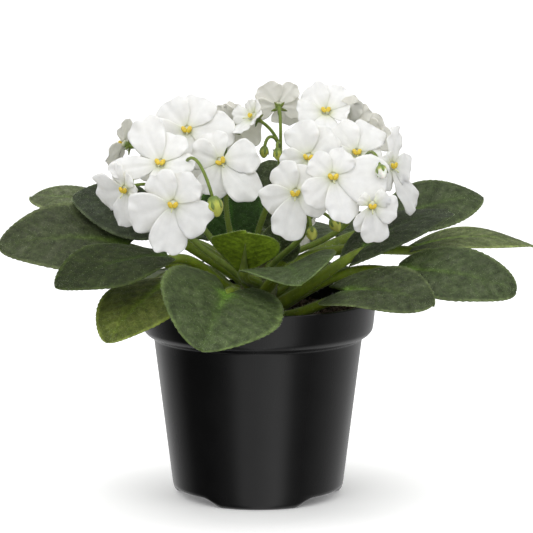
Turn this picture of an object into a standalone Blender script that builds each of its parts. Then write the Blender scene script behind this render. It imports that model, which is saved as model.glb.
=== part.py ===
"""A potted African violet with white flowers in a black nursery pot.

Metres, +Z up. The origin is on the ground under the middle of the whole plant, which
faces -Y. A rosette of stalked leaves grows from a short crown that stands in the soil, and
flower stalks rise between the leaves. Each leaf, flower stalk and flower is a piece of its
own. Sizes and places are in millimetres from the pot's axis and the ground: they become
metres where a mesh is made, and the last step puts the pot's axis at POT_AXIS.
"""
import math

import bmesh
import bpy
import numpy as np
from mathutils import Matrix

MM = 0.001
GAP = 0.35
POT_AXIS = (-5.0, -10.4, 0.0)

# Pot
RIM_RADIUS = 52.5
RIM_TOP = 88.5
RIM_FOOT_RADIUS = 51.4
RIM_FOOT_HEIGHT = 77.5
STEP_HEIGHT = 71.0
BODY_TOP_RADIUS = 46.3
BODY_FOOT_RADIUS = 38.2
BODY_FOOT_HEIGHT = 6.0
GROUND_RADIUS = 35.9
FOOT_WIDTH = 2.6
WALL = 1.3
EDGE = 0.5
BASE_HEIGHT = 5.0
ARCH_HEIGHT = 4.8
FOOT_COUNT = 3
FOOT_HALF_ANGLE = 33
ARCH_START_ANGLE = 47
DRAIN_RADIUS = 3.5
DRAIN_CIRCLE = 22.0
DRAIN_COUNT = 5
DRAIN_SIDES = 8
POT_SEGMENTS = 39

# Soil and crown
SOIL_TOP = 80.0
SOIL_RINGS = (34.0, 20.0)
SOIL_UNEVENNESS = 0.9
SOIL_SEGMENTS = 21
CROWN_FOOT = 52.0
CROWN_FOOT_RADIUS = 6.0
CROWN_NECK = 80.0
CROWN_NECK_RADIUS = 9.6
CROWN_TOP = 108.0
CROWN_TOP_RADIUS = 6.6
CROWN_ROUNDING = ((3.6, 2.6), (0.0, 3.4))
CROWN_SEGMENTS = 12

# Stems of both kinds: the bezier handles at their two ends, as shares of their length
ROOT_HANDLE = 0.4
END_HANDLE = 0.35

# Leaves
STALK_SIDES = 5
STALK_POINTS = 6
STALK_RADII = (2.3, 1.8)
STALK_DROP = 0.7
RIB_SHARES = (0.16, 0.34)
RIB_RADII = (1.4, 0.7)
LEAF_ROWS = 6
LEAF_STEPS = (0.0, 0.55, 1.0)
BLADE_MIDDLE = 1.5
BLADE_MARGIN = 0.9
LOBE_ANGLE = math.radians(18)
WIDEST_AT = 0.40
TIP_NARROWING = 0.18
WAVE_HEIGHT = 0.8
WAVE_TURNS = 9.0
WAVE_SKEW = 2.0
MIDRIB_SWEEP = 1.3

# Flowers: the petals go round from the upper right one, clockwise as seen from the front
PETAL_ANGLES = (33, 101, 180, 259, 327)
PETAL_LENGTHS = (14.5, 18.5, 21.0, 18.5, 14.5)
PETAL_HALF_WIDTHS = (6.6, 8.0, 8.3, 8.0, 6.6)
PETAL_TILTS = (-0.10, 0.02, 0.14, 0.02, -0.10)
PETAL_ROWS = (0.58, 1.0)
PETAL_CELLS = 3
PETAL_THICKNESS = 0.8
PETAL_TWIST = 0.16
PETAL_BASE_ARC = 56
TIP_WIDTH = 0.70
TIP_BOW = 0.22
THROAT_RADIUS = 2.6
THROAT_DEPTH = 3.2
ANTHER_SIDES = 10
ANTHER_RINGS = ((1.9, 0.5), (1.3, 1.7))
ANTHER_PINCH = 0.5

# Flower stalks
PEDUNCLE_SIDES = 5
PEDUNCLE_POINTS = 6
PEDUNCLE_RADII = (1.5, 1.1)
PEDICEL_SIDES = 3
PEDICEL_POINTS = 4
PEDICEL_RADIUS = 0.9
FORK_SINK = 0.6
SEPAL_COUNT = 5
SEPAL_REACH = 4.2
SEPAL_NOTCH = 1.7
SEPAL_THICKNESS = 0.8
SEPAL_RISE = 1.2
NOTCH_RISE = 0.3
BUD_LENGTH = 6.0
BUD_RADIUS = 2.4
BUD_SHAPE = ((0.0, 0.5), (0.25, 0.9), (0.6, 1.0), (0.9, 0.45))
UP = np.array((0.0, 0.0, 1.0))


def leaf(name, root, joint, tip, half_width, face, lobe=0.11, arch=0.08, fold=0.0, cup=0.0, lift=0.5):
    """A leaf: where its stalk leaves the crown (angle, height), its blade's two ends and its face."""
    return dict(name=name, root=root, joint=joint, tip=tip, half_width=half_width, face=face,
                lobe=lobe, arch=arch, fold=fold, cup=cup, lift=lift)


LEAVES = [
    leaf("leaf_front_heart", (256, 84), (-13.5, -44, 96.5), (-22, -79, 79), 27, (0.32, -0.6, 0.8),
         lobe=0.45, fold=0.18),
    leaf("leaf_front_left", (226, 83), (-39, -28, 99), (-64, -56, 78), 19, (-0.45, -0.7, 0.55)),
    leaf("leaf_left_low", (206, 89), (-39, -27, 111), (-86, -52, 101), 18.5, (0.0, -0.35, 0.9)),
    leaf("leaf_left_wide", (182, 91), (-57, -6, 113), (-113, -20, 114), 23, (0.1, -0.5, 0.8)),
    leaf("leaf_left_high", (170, 97), (-45, 2, 120), (-82, 6, 133), 18, (0.4, -0.5, 0.7)),
    leaf("leaf_left_rear", (136, 95), (-66, 34, 122), (-104, 46, 127), 15, (0.1, -0.3, 0.9)),
    leaf("leaf_inner_front", (262, 96), (-6, -18, 104), (-5, -36, 123), 15, (0.1, 0.8, 0.6), arch=0.0),
    leaf("leaf_inner_fold", (290, 92), (9, -24, 104), (19, -60, 104), 23, (-0.1, -0.1, 0.95), fold=0.35),
    leaf("leaf_right_front", (312, 84), (36, -36, 100), (75, -55, 94), 17, (0.0, -0.3, 0.95)),
    leaf("leaf_right_low", (340, 87), (71, -22, 101), (112, -34, 98), 19, (-0.1, -0.5, 0.8)),
    leaf("leaf_right_mid", (346, 95), (42, -14, 115), (86, 2, 126), 17, (-0.2, -0.45, 0.85)),
    leaf("leaf_right_long", (4, 91), (71, 3, 111), (123, 8, 110), 14, (0.0, -0.15, 0.98)),
    leaf("leaf_right_high", (20, 97), (58, 28, 118), (102, 40, 128), 16, (-0.2, -0.6, 0.75)),
    leaf("leaf_inner_left", (146, 103), (-12, 14, 112), (-12, 28, 141), 14, (0.0, -0.85, 0.5), fold=0.2),
    leaf("leaf_inner_right", (66, 102), (12, 19, 118), (6, 29, 140), 13, (0.0, -0.8, 0.6), fold=0.1),
    leaf("leaf_inner_small", (322, 102), (10, -9, 107), (10, -14, 124), 9, (-0.2, -0.9, 0.2)),
    leaf("leaf_back_low_right", (48, 84), (34, 32, 98), (60, 60, 78), 20, (0.5, 0.4, 0.8)),
    leaf("leaf_back_low", (92, 84), (0, 45, 99), (2, 84, 78), 22, (0.0, 0.5, 0.85)),
    leaf("leaf_back_low_left", (132, 84), (-33, 32, 98), (-58, 58, 78), 20, (-0.5, 0.4, 0.8)),
    leaf("leaf_back_right", (36, 90), (42, 40, 110), (74, 72, 112), 18, (0.1, -0.2, 0.95)),
    leaf("leaf_back_middle", (78, 90), (14, 58, 108), (20, 100, 112), 19, (0.0, -0.1, 0.98)),
    leaf("leaf_back_left", (118, 90), (-30, 50, 108), (-54, 86, 110), 19, (0.0, -0.1, 0.98)),
]


def bloom(name, centre, face, size=1.0, turn=0, cup=0.0, petals=(1, 1, 1, 1, 1)):
    """A flower: its centre, the way it faces, its turn in degrees, and its petals' own lengths."""
    return dict(name=name, centre=centre, face=face, size=size, turn=turn, cup=cup, petals=petals)


BLOOMS = [
    bloom("bloom_left_outer", (-59, 4, 158), (-0.75, 0.2, -0.6), 0.75, cup=0.3),
    bloom("bloom_left_low", (-58, -37, 141), (-0.7, -0.65, -0.25), 0.92),
    bloom("bloom_left_middle", (-42, -31, 152), (-0.1, -0.8, 0.55), 1.1, cup=0.3,
          petals=(1.3, 0.75, 0.5, 0.8, 1.3)),
    bloom("bloom_left_front", (-36, -52, 137), (-0.15, -0.97, -0.1), 1.03),
    bloom("bloom_left_top", (-31, -8, 164), (-0.15, -0.9, 0.25), 1.12, turn=-8),
    bloom("bloom_left_inner", (-16, -25, 152), (0.05, -0.95, 0.1), 1.05, turn=-36),
    bloom("bloom_centre_turned", (-9, 12, 161), (0.75, 0.6, 0.1), 0.88, cup=0.4),
    bloom("bloom_centre_small", (-3, -8, 165), (0.5, -0.6, 0.5), 0.5, cup=0.3),
    bloom("bloom_centre_top", (9, 8, 177), (-0.1, 0.92, 0.35), 0.68),
    bloom("bloom_right_top", (30, 2, 171), (0.0, -0.75, 0.6), 0.95, cup=0.3, petals=(1, 0.75, 0.8, 0.75, 1)),
    bloom("bloom_right_rear", (22, 27, 162), (-0.3, 0.4, 0.85), 0.85),
    bloom("bloom_right_side", (42, 17, 164), (0.1, 0.1, 1.0), 0.75, cup=0.8),
    bloom("bloom_right_inner", (22, -26, 154), (-0.1, -0.95, 0.1), 0.95, petals=(1, 0.9, 0.6, 1, 1)),
    bloom("bloom_right_front", (32, -54, 149), (0.05, -0.97, 0.1), 1.05, turn=6,
          petals=(1.15, 1.15, 0.95, 0.62, 0.95)),
    bloom("bloom_centre_front", (17, -44, 142), (-0.2, -0.95, -0.1), 0.98, turn=6),
    bloom("bloom_right_upper", (43, -19, 155), (0.1, -0.85, 0.35), 0.95, petals=(1.15, 0.65, 0.9, 0.6, 1.15)),
    bloom("bloom_right_low", (50, -38, 135), (0.15, -0.9, -0.35), 0.76, petals=(0.7, 1, 1, 1, 0.7)),
    bloom("bloom_right_outer", (62, -15, 149), (0.9, -0.45, 0.1), 0.9),
    bloom("bloom_right_turned", (56, 12, 156), (0.6, 0.65, 0.4), 0.8),
    bloom("bloom_back_left", (-38, 24, 148), (-0.5, 0.85, 0.2), 0.95),
    bloom("bloom_back_inner", (-20, 40, 143), (-0.1, 0.95, 0.1), 0.9),
    bloom("bloom_back_low", (-14, 54, 122), (-0.1, 0.95, -0.1), 0.92),
    bloom("bloom_back_right", (34, 34, 146), (0.4, 0.9, 0.1), 0.95),
    bloom("bloom_back_low_right", (22, 53, 123), (0.2, 0.95, -0.1), 0.86),
]


def bud(place, face, size=1.0):
    """A closed bud: its base, the way it points and its size."""
    return dict(place=place, face=face, size=size)


def flower_stalk(name, root, fork, blooms, buds=(), lift=1.2):
    """A flower stalk: where it leaves the crown, where it forks, and what its branches carry."""
    return dict(name=name, root=root, fork=fork, blooms=blooms, buds=buds, lift=lift)


FLOWER_STALKS = [
    flower_stalk("flower_stalk_left_front", (232, 93), (-34, -25, 132),
                 ("bloom_left_low", "bloom_left_middle", "bloom_left_front"),
                 (bud((-21, -36, 135), (0.4, -0.3, -0.8), 1.1),)),
    flower_stalk("flower_stalk_left_rear", (198, 98), (-34, 4, 146),
                 ("bloom_left_outer", "bloom_left_top", "bloom_back_left")),
    flower_stalk("flower_stalk_inner", (222, 101), (-14, -12, 136),
                 ("bloom_left_inner", "bloom_centre_turned")),
    flower_stalk("flower_stalk_centre", (104, 102), (10, 1, 152),
                 ("bloom_centre_small", "bloom_centre_top"),
                 (bud((3, -5, 157), (-0.1, -0.1, -1.0)), bud((9, -6, 156), (0.1, -0.2, -1.0))), lift=4),
    flower_stalk("flower_stalk_right_front", (300, 99), (22, -28, 130),
                 ("bloom_centre_front", "bloom_right_front", "bloom_right_inner"),
                 (bud((23, -31, 124), (0.1, -0.7, -0.7)), bud((32, -26, 127), (0.4, -0.4, -0.6)))),
    flower_stalk("flower_stalk_right", (8, 104), (44, -10, 136),
                 ("bloom_right_upper", "bloom_right_low", "bloom_right_outer"),
                 (bud((54, -14, 143), (0.3, -0.9, 0.1)),)),
    flower_stalk("flower_stalk_right_rear", (34, 103), (34, 10, 146),
                 ("bloom_right_top", "bloom_right_rear", "bloom_right_side", "bloom_right_turned")),
    flower_stalk("flower_stalk_back", (92, 96), (8, 40, 124),
                 ("bloom_back_inner", "bloom_back_low", "bloom_back_right", "bloom_back_low_right")),
]


def unit(vector):
    """The vector at length one."""
    vector = np.asarray(vector, float)
    return vector / np.linalg.norm(vector)


def across(vector, axis):
    """The part of vector that is square to axis, at length one."""
    return unit(vector - np.dot(vector, axis) * axis)


def bezier(points, count):
    """Points along the cubic curve through four control points."""
    t = np.linspace(0.0, 1.0, count)[:, None]
    a, b, c, d = (np.asarray(point, float) for point in points)
    return a * (1 - t) ** 3 + 3 * b * t * (1 - t) ** 2 + 3 * c * t ** 2 * (1 - t) + d * t ** 3


def material(name, colour, roughness, metallic=0.0):
    """A plain Principled material."""
    made = bpy.data.materials.new(name)
    made.use_nodes = True
    shader = made.node_tree.nodes["Principled BSDF"]
    shader.inputs["Base Color"].default_value = (*colour, 1.0)
    shader.inputs["Roughness"].default_value = roughness
    shader.inputs["Metallic"].default_value = metallic
    return made


def mesh_object(name, points, faces, finish=None):
    """An object from points in millimetres."""
    mesh = bpy.data.meshes.new(name)
    mesh.from_pydata((np.asarray(points, float) * MM).tolist(), [], [list(face) for face in faces])
    made = bpy.data.objects.new(name, mesh)
    bpy.context.scene.collection.objects.link(made)
    if finish:
        mesh.materials.append(finish)
    return made


def is_closed(mesh):
    """Whether every edge of a mesh joins exactly two faces, with nothing loose."""
    shape = bmesh.new()
    shape.from_mesh(mesh)
    whole = all(len(edge.link_faces) == 2 for edge in shape.edges)
    reached, waiting = set(), list(shape.verts)[:1]
    while waiting:
        corner = waiting.pop()
        if corner not in reached:
            reached.add(corner)
            waiting += [edge.other_vert(corner) for edge in corner.link_edges]
    whole = whole and len(reached) == len(shape.verts)
    shape.free()
    return whole


def union(name, pieces, finish):
    """One body from pieces that run into each other."""
    base, rest = pieces[0], pieces[1:]
    operands = bpy.data.collections.new(name + "_operands")
    bpy.context.scene.collection.children.link(operands)
    for piece in rest:
        bpy.context.scene.collection.objects.unlink(piece)
        operands.objects.link(piece)
    join = base.modifiers.new("union", "BOOLEAN")
    join.operation = "UNION"
    join.operand_type = "COLLECTION"
    join.collection = operands
    for solver in ("EXACT", "MANIFOLD"):
        join.solver = solver
        depsgraph = bpy.context.evaluated_depsgraph_get()
        mesh = bpy.data.meshes.new_from_object(base.evaluated_get(depsgraph))
        if is_closed(mesh):
            break
    for piece in pieces:
        bpy.data.objects.remove(piece)
    bpy.data.collections.remove(operands)
    mesh.name = name
    mesh.materials.clear()
    mesh.materials.append(finish)
    made = bpy.data.objects.new(name, mesh)
    bpy.context.scene.collection.objects.link(made)
    return made


def turned(name, profile, segments, finish=None):
    """A solid turned round the Z axis from (radius, height) points that start and end on it."""
    shape = bmesh.new()
    ends = [shape.verts.new((radius * MM, 0.0, height * MM)) for radius, height in profile]
    edges = [shape.edges.new(pair) for pair in zip(ends, ends[1:])]
    bmesh.ops.spin(shape, geom=ends + edges, cent=(0, 0, 0), axis=(0, 0, 1), dvec=(0, 0, 0),
                   angle=2 * math.pi, steps=segments, use_merge=True)
    bmesh.ops.remove_doubles(shape, verts=shape.verts, dist=0.01 * MM)
    bmesh.ops.recalc_face_normals(shape, faces=shape.faces)
    mesh = bpy.data.meshes.new(name)
    shape.to_mesh(mesh)
    shape.free()
    made = bpy.data.objects.new(name, mesh)
    bpy.context.scene.collection.objects.link(made)
    if finish:
        mesh.materials.append(finish)
    return made


def tube(path, radii, sides, first_ring=None):
    """Points and faces of a closed tube along path; first_ring takes the place of its first ring."""
    path = np.asarray(path, float)
    runs = np.gradient(path, axis=0)
    side = across(np.array((0.31, 0.17, 0.94)), unit(runs[0]))
    points = []
    for index, (place, run, radius) in enumerate(zip(path, runs, radii)):
        run = unit(run)
        side = across(side, run)
        up = np.cross(run, side)
        for step in range(sides):
            angle = 2 * math.pi * step / sides
            offset = radius * (math.cos(angle) * side + math.sin(angle) * up)
            points.append(first_ring(offset) if index == 0 and first_ring else place + offset)
    faces = [list(range(sides))[::-1]]
    for ring in range(len(path) - 1):
        for step in range(sides):
            a, b = ring * sides + step, ring * sides + (step + 1) % sides
            faces.append([a, b, b + sides, a + sides])
    last = (len(path) - 1) * sides
    faces.append([last + step for step in range(sides)])
    return points, faces


def crown_radius(height):
    """The crown's radius at a height."""
    share = (height - CROWN_NECK) / (CROWN_TOP - CROWN_NECK)
    return CROWN_NECK_RADIUS + share * (CROWN_TOP_RADIUS - CROWN_NECK_RADIUS)


def crown_point(angle, height, gap=GAP):
    """The point just off the crown at an angle in degrees."""
    turn = math.radians(angle)
    radius = crown_radius(height) + gap
    return np.array((radius * math.cos(turn), radius * math.sin(turn), height))


def seat_ring(angle, height):
    """A function that lays a stalk's first ring round the crown, a gap away from it."""
    start = crown_point(angle, height)
    outward = unit((start[0], start[1], 0.0))
    sideways = np.array((-outward[1], outward[0], 0.0))

    def place(offset):
        turn = math.degrees(np.dot(offset, sideways) / np.hypot(start[0], start[1]))
        rise = offset[2] + 0.3 * np.dot(offset, outward)
        return crown_point(angle + turn, height + rise)

    return place


def leaf_frame(item):
    """A leaf's joint, its axes along, across and off the blade, and its length."""
    joint, tip = np.array(item["joint"], float), np.array(item["tip"], float)
    along = unit(tip - joint)
    off = across(np.array(item["face"], float), along)
    return joint, along, np.cross(off, along), off, np.linalg.norm(tip - joint)


def leaf_points(item, t, s):
    """Middle surface of a blade: t runs from the joint to the tip, s from margin to margin."""
    joint, along, side, off, length = leaf_frame(item)
    t, s = np.asarray(t, float), np.asarray(s, float)
    swing = LOBE_ANGLE + (math.pi - LOBE_ANGLE) * t
    rear = WIDEST_AT + item["lobe"]
    reach = np.where(swing < math.pi / 2, rear, 1.0 - WIDEST_AT)
    margin_x = length * (WIDEST_AT - reach * np.cos(swing))
    narrowing = 1 - TIP_NARROWING * np.clip(-np.cos(swing), 0, 1) ** 2
    margin_y = item["half_width"] * np.sin(swing) * narrowing
    middle_x = length * t ** MIDRIB_SWEEP
    x = middle_x + (margin_x - middle_x) * np.abs(s)
    y = margin_y * s
    share = x / length
    height = item["arch"] * length * 4 * share * (1 - share)
    height += item["fold"] * np.abs(y) + item["cup"] * y ** 2 / item["half_width"]
    phase = t * WAVE_TURNS + s * WAVE_SKEW + item["joint"][0]
    height += WAVE_HEIGHT * np.abs(s) ** 3 * np.sin(phase)
    return joint + x[..., None] * along + y[..., None] * side + height[..., None] * off


def blade(item):
    """Points and faces of a closed blade, split into triangles alike on both faces."""
    off = leaf_frame(item)[3]
    spans = [-step for step in LEAF_STEPS[:0:-1]] + list(LEAF_STEPS)
    wide = len(spans)
    upper, lower = [], []
    for row in range(LEAF_ROWS):
        for s in spans:
            middle = leaf_points(item, row / LEAF_ROWS, s)
            half = 0.5 * (BLADE_MIDDLE + (BLADE_MARGIN - BLADE_MIDDLE) * abs(s))
            upper.append(middle + half * off)
            lower.append(middle - half * off)
    end = leaf_points(item, 1.0, 0.0)
    upper.append(end + 0.5 * BLADE_MARGIN * off)
    lower.append(end - 0.5 * BLADE_MARGIN * off)
    tip, count = LEAF_ROWS * wide, LEAF_ROWS * wide + 1
    face_up = []
    for row in range(LEAF_ROWS - 1):
        for cell in range(wide - 1):
            a = row * wide + cell
            b, c, d = a + 1, a + wide + 1, a + wide
            if cell < (wide - 1) // 2:
                face_up += [(a, b, c), (a, c, d)]
            else:
                face_up += [(a, b, d), (b, c, d)]
    last = (LEAF_ROWS - 1) * wide
    face_up += [(last + cell, last + cell + 1, tip) for cell in range(wide - 1)]
    rim = list(range(wide))
    rim += [row * wide + wide - 1 for row in range(1, LEAF_ROWS)] + [tip]
    rim += [row * wide for row in range(LEAF_ROWS - 1, 0, -1)]
    faces = [face[::-1] for face in face_up]
    faces += [tuple(count + corner for corner in face) for face in face_up]
    for a, b in zip(rim, rim[1:] + rim[:1]):
        faces += [(a, b, count + b), (a, count + b, count + a)]
    return upper + lower, faces


def stem(root, lift, end, arrival, count):
    """Points of a stem from its root on the crown to its end, which it reaches along arrival."""
    start = crown_point(*root)
    outward = unit((start[0], start[1], 0.0))
    span = np.linalg.norm(end - start)
    leaving = start + ROOT_HANDLE * span * unit(outward + lift * UP)
    return bezier((start, leaving, end - END_HANDLE * span * arrival, end), count)


def leaf_stalk(item):
    """Points and faces of the stalk, which runs on under the blade as its midrib."""
    joint, along, _, off, _ = leaf_frame(item)
    path = list(stem(item["root"], item["lift"], joint - STALK_DROP * off, along, STALK_POINTS))
    for share in RIB_SHARES:
        path.append(leaf_points(item, share ** (1 / MIDRIB_SWEEP), 0.0) - STALK_DROP * off)
    radii = list(np.linspace(*STALK_RADII, STALK_POINTS)) + list(RIB_RADII)
    return tube(path, radii, STALK_SIDES, seat_ring(*item["root"]))


def make_leaf(item, finish):
    """One leaf: blade and stalk in one body."""
    flesh = mesh_object(item["name"] + "_blade", *blade(item))
    stalk = mesh_object(item["name"] + "_stalk", *leaf_stalk(item))
    for piece in (flesh, stalk):
        face_outward(piece)
    return union(item["name"], [flesh, stalk], finish)


def face_outward(piece):
    """Turns every face of a closed mesh outward."""
    shape = bmesh.new()
    shape.from_mesh(piece.data)
    bmesh.ops.recalc_face_normals(shape, faces=shape.faces)
    shape.to_mesh(piece.data)
    shape.free()


def bloom_frame(item):
    """A flower's centre and its right, up and facing axes."""
    facing = unit(item["face"])
    up = across(UP, facing)
    right = np.cross(up, facing)
    turn = math.radians(item["turn"])
    turned_up = math.cos(turn) * up + math.sin(turn) * right
    turned_right = math.cos(turn) * right - math.sin(turn) * up
    return np.array(item["centre"], float), turned_right, turned_up, facing


def petal_point(item, petal, u, s):
    """Middle surface of a petal: u runs from the throat to the tip, s from side to side."""
    centre, right, up, facing = bloom_frame(item)
    size = item["size"] * item["petals"][petal]
    length, half = PETAL_LENGTHS[petal] * size, PETAL_HALF_WIDTHS[petal] * size
    direction = math.radians(PETAL_ANGLES[petal])
    if u == 0.0:
        swing = direction + math.radians(PETAL_BASE_ARC / 2) * s
        return centre + THROAT_RADIUS * (math.cos(swing) * up + math.sin(swing) * right)
    past_widest = max(u - PETAL_ROWS[0], 0.0) / (1 - PETAL_ROWS[0])
    side = half * s * (1 - (1 - TIP_WIDTH) * past_widest)
    out = THROAT_RADIUS + (length - THROAT_RADIUS) * u * (1 - TIP_BOW * s * s)
    height = (PETAL_TILTS[petal] + item["cup"]) * (out - THROAT_RADIUS) + PETAL_TWIST * side
    along = math.cos(direction) * up + math.sin(direction) * right
    aside = math.cos(direction) * right - math.sin(direction) * up
    return centre + out * along + side * aside + height * facing


def corolla(item):
    """Points and faces of the five petals round the throat, as one closed body."""
    centre, right, up, facing = bloom_frame(item)
    spans = np.linspace(-1.0, 1.0, PETAL_CELLS + 1)
    rows = (0.0,) + PETAL_ROWS
    wide = PETAL_CELLS + 1
    per_petal = wide * len(rows)
    points, face_up, rim = [], [], []
    for petal in range(5):
        first = petal * per_petal
        for u in rows:
            points += [petal_point(item, petal, u, s) for s in spans]
        for row in range(len(rows) - 1):
            for cell in range(PETAL_CELLS):
                a = first + row * wide + cell
                b, c, d = a + 1, a + wide + 1, a + wide
                face_up += [(a, b, c), (a, c, d)] if cell % 2 else [(a, b, d), (b, c, d)]
        rim += [first + row * wide for row in range(len(rows))]
        rim += [first + (len(rows) - 1) * wide + cell for cell in range(1, wide)]
        rim += [first + row * wide + wide - 1 for row in range(len(rows) - 2, -1, -1)]
    ring = [petal * per_petal + cell for petal in range(5) for cell in range(wide)]
    count = len(points)
    lower = [point - PETAL_THICKNESS * facing for point in points]
    faces = face_up + [tuple(count + corner for corner in face[::-1]) for face in face_up]
    for a, b in zip(rim, rim[1:] + rim[:1]):
        faces += [(a, b, count + b), (a, count + b, count + a)]
    points += lower
    apex = len(points)
    points.append(centre - THROAT_DEPTH * facing)
    for a, b in zip(ring, ring[1:] + ring[:1]):
        faces.append((count + a, count + b, apex))
    inner = ring
    first_swing = math.radians(PETAL_ANGLES[0] - PETAL_BASE_ARC / 2)
    for spread, rise in ANTHER_RINGS:
        outer, inner = inner, []
        for index in range(ANTHER_SIDES):
            swing = first_swing + 2 * math.pi * index / ANTHER_SIDES
            pinch = 1.0 - ANTHER_PINCH * math.cos(swing) ** 2
            offset = spread * (pinch * math.cos(swing) * up + math.sin(swing) * right)
            inner.append(len(points))
            points.append(centre + offset + rise * facing)
        ratio = len(outer) // ANTHER_SIDES
        for index in range(ANTHER_SIDES):
            following = (index + 1) % ANTHER_SIDES
            near = [outer[(index * ratio + step) % len(outer)] for step in range(ratio + 1)]
            faces += [(inner[index], a, b) for a, b in zip(near, near[1:])]
            faces.append((inner[index], near[-1], inner[following]))
    faces.append(tuple(inner))
    return points, faces


def make_bloom(item, finish):
    """One flower: five petals with the pair of anthers on the throat."""
    made = mesh_object(item["name"], *corolla(item), finish)
    face_outward(made)
    return made


def calyx(item):
    """Points and faces of the five-pointed green cup behind a flower."""
    centre, right, up, facing = bloom_frame(item)
    size = math.sqrt(item["size"])
    middle = centre - (THROAT_DEPTH + GAP) * facing
    points = [middle, middle - 2 * SEPAL_THICKNESS * facing]
    count = 2 * SEPAL_COUNT
    for index in range(count):
        swing = math.pi * index / SEPAL_COUNT
        reach, rise = (SEPAL_NOTCH, NOTCH_RISE) if index % 2 else (SEPAL_REACH * size, SEPAL_RISE)
        edge = middle + reach * (math.cos(swing) * up + math.sin(swing) * right) + rise * facing
        points += [edge, edge - SEPAL_THICKNESS * facing]
    faces = []
    for index in range(count):
        a, b = 2 + 2 * index, 2 + 2 * ((index + 1) % count)
        faces += [(0, a, b), (1, b + 1, a + 1), (a, a + 1, b + 1), (a, b + 1, b)]
    return points, faces


def bud_body(item):
    """Points and faces of a closed bud, turned round the way it points."""
    base = np.array(item["place"], float)
    run = BUD_LENGTH * item["size"] * unit(item["face"])
    path = [base + share * run for share, _ in BUD_SHAPE]
    radii = [BUD_RADIUS * item["size"] * width for _, width in BUD_SHAPE]
    return tube(path, radii, SEPAL_COUNT)


def side_stalk(fork, end, arrival):
    """Points and faces of a side stalk from the fork to its end, which it reaches along arrival."""
    handle = END_HANDLE * np.linalg.norm(end - fork)
    path = bezier((fork - FORK_SINK * UP, fork + handle * UP, end - handle * arrival, end), PEDICEL_POINTS)
    return tube(path, [PEDICEL_RADIUS] * PEDICEL_POINTS, PEDICEL_SIDES)


def make_flower_stalk(item, blooms, finish):
    """One flower stalk with its side stalks, calyces and buds in one body."""
    name = item["name"]
    fork = np.array(item["fork"], float)
    path = stem(item["root"], item["lift"], fork, UP, PEDUNCLE_POINTS)
    radii = np.linspace(*PEDUNCLE_RADII, PEDUNCLE_POINTS)
    solids = [tube(path, radii, PEDUNCLE_SIDES, seat_ring(*item["root"]))]
    for carried in item["blooms"]:
        centre, _, _, facing = bloom_frame(blooms[carried])
        end = centre - (THROAT_DEPTH + GAP + 0.8 * SEPAL_THICKNESS) * facing
        solids += [side_stalk(fork, end, facing), calyx(blooms[carried])]
    for closed in item["buds"]:
        facing = unit(closed["face"])
        end = np.array(closed["place"], float) + SEPAL_THICKNESS * facing
        solids += [side_stalk(fork, end, facing), bud_body(closed)]
    pieces = [mesh_object(name + "_piece", *solid) for solid in solids]
    for piece in pieces:
        face_outward(piece)
    return union(name, pieces, finish)


def foot_arch(angle):
    """Height of the pot's lower edge at an angle in degrees: feet at the front and at 120 degrees."""
    spacing = 360 / FOOT_COUNT
    off = abs((angle + 90 + spacing / 2) % spacing - spacing / 2)
    share = min(max((off - FOOT_HALF_ANGLE) / (ARCH_START_ANGLE - FOOT_HALF_ANGLE), 0.0), 1.0)
    return ARCH_HEIGHT * share * share * (3 - 2 * share)


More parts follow.
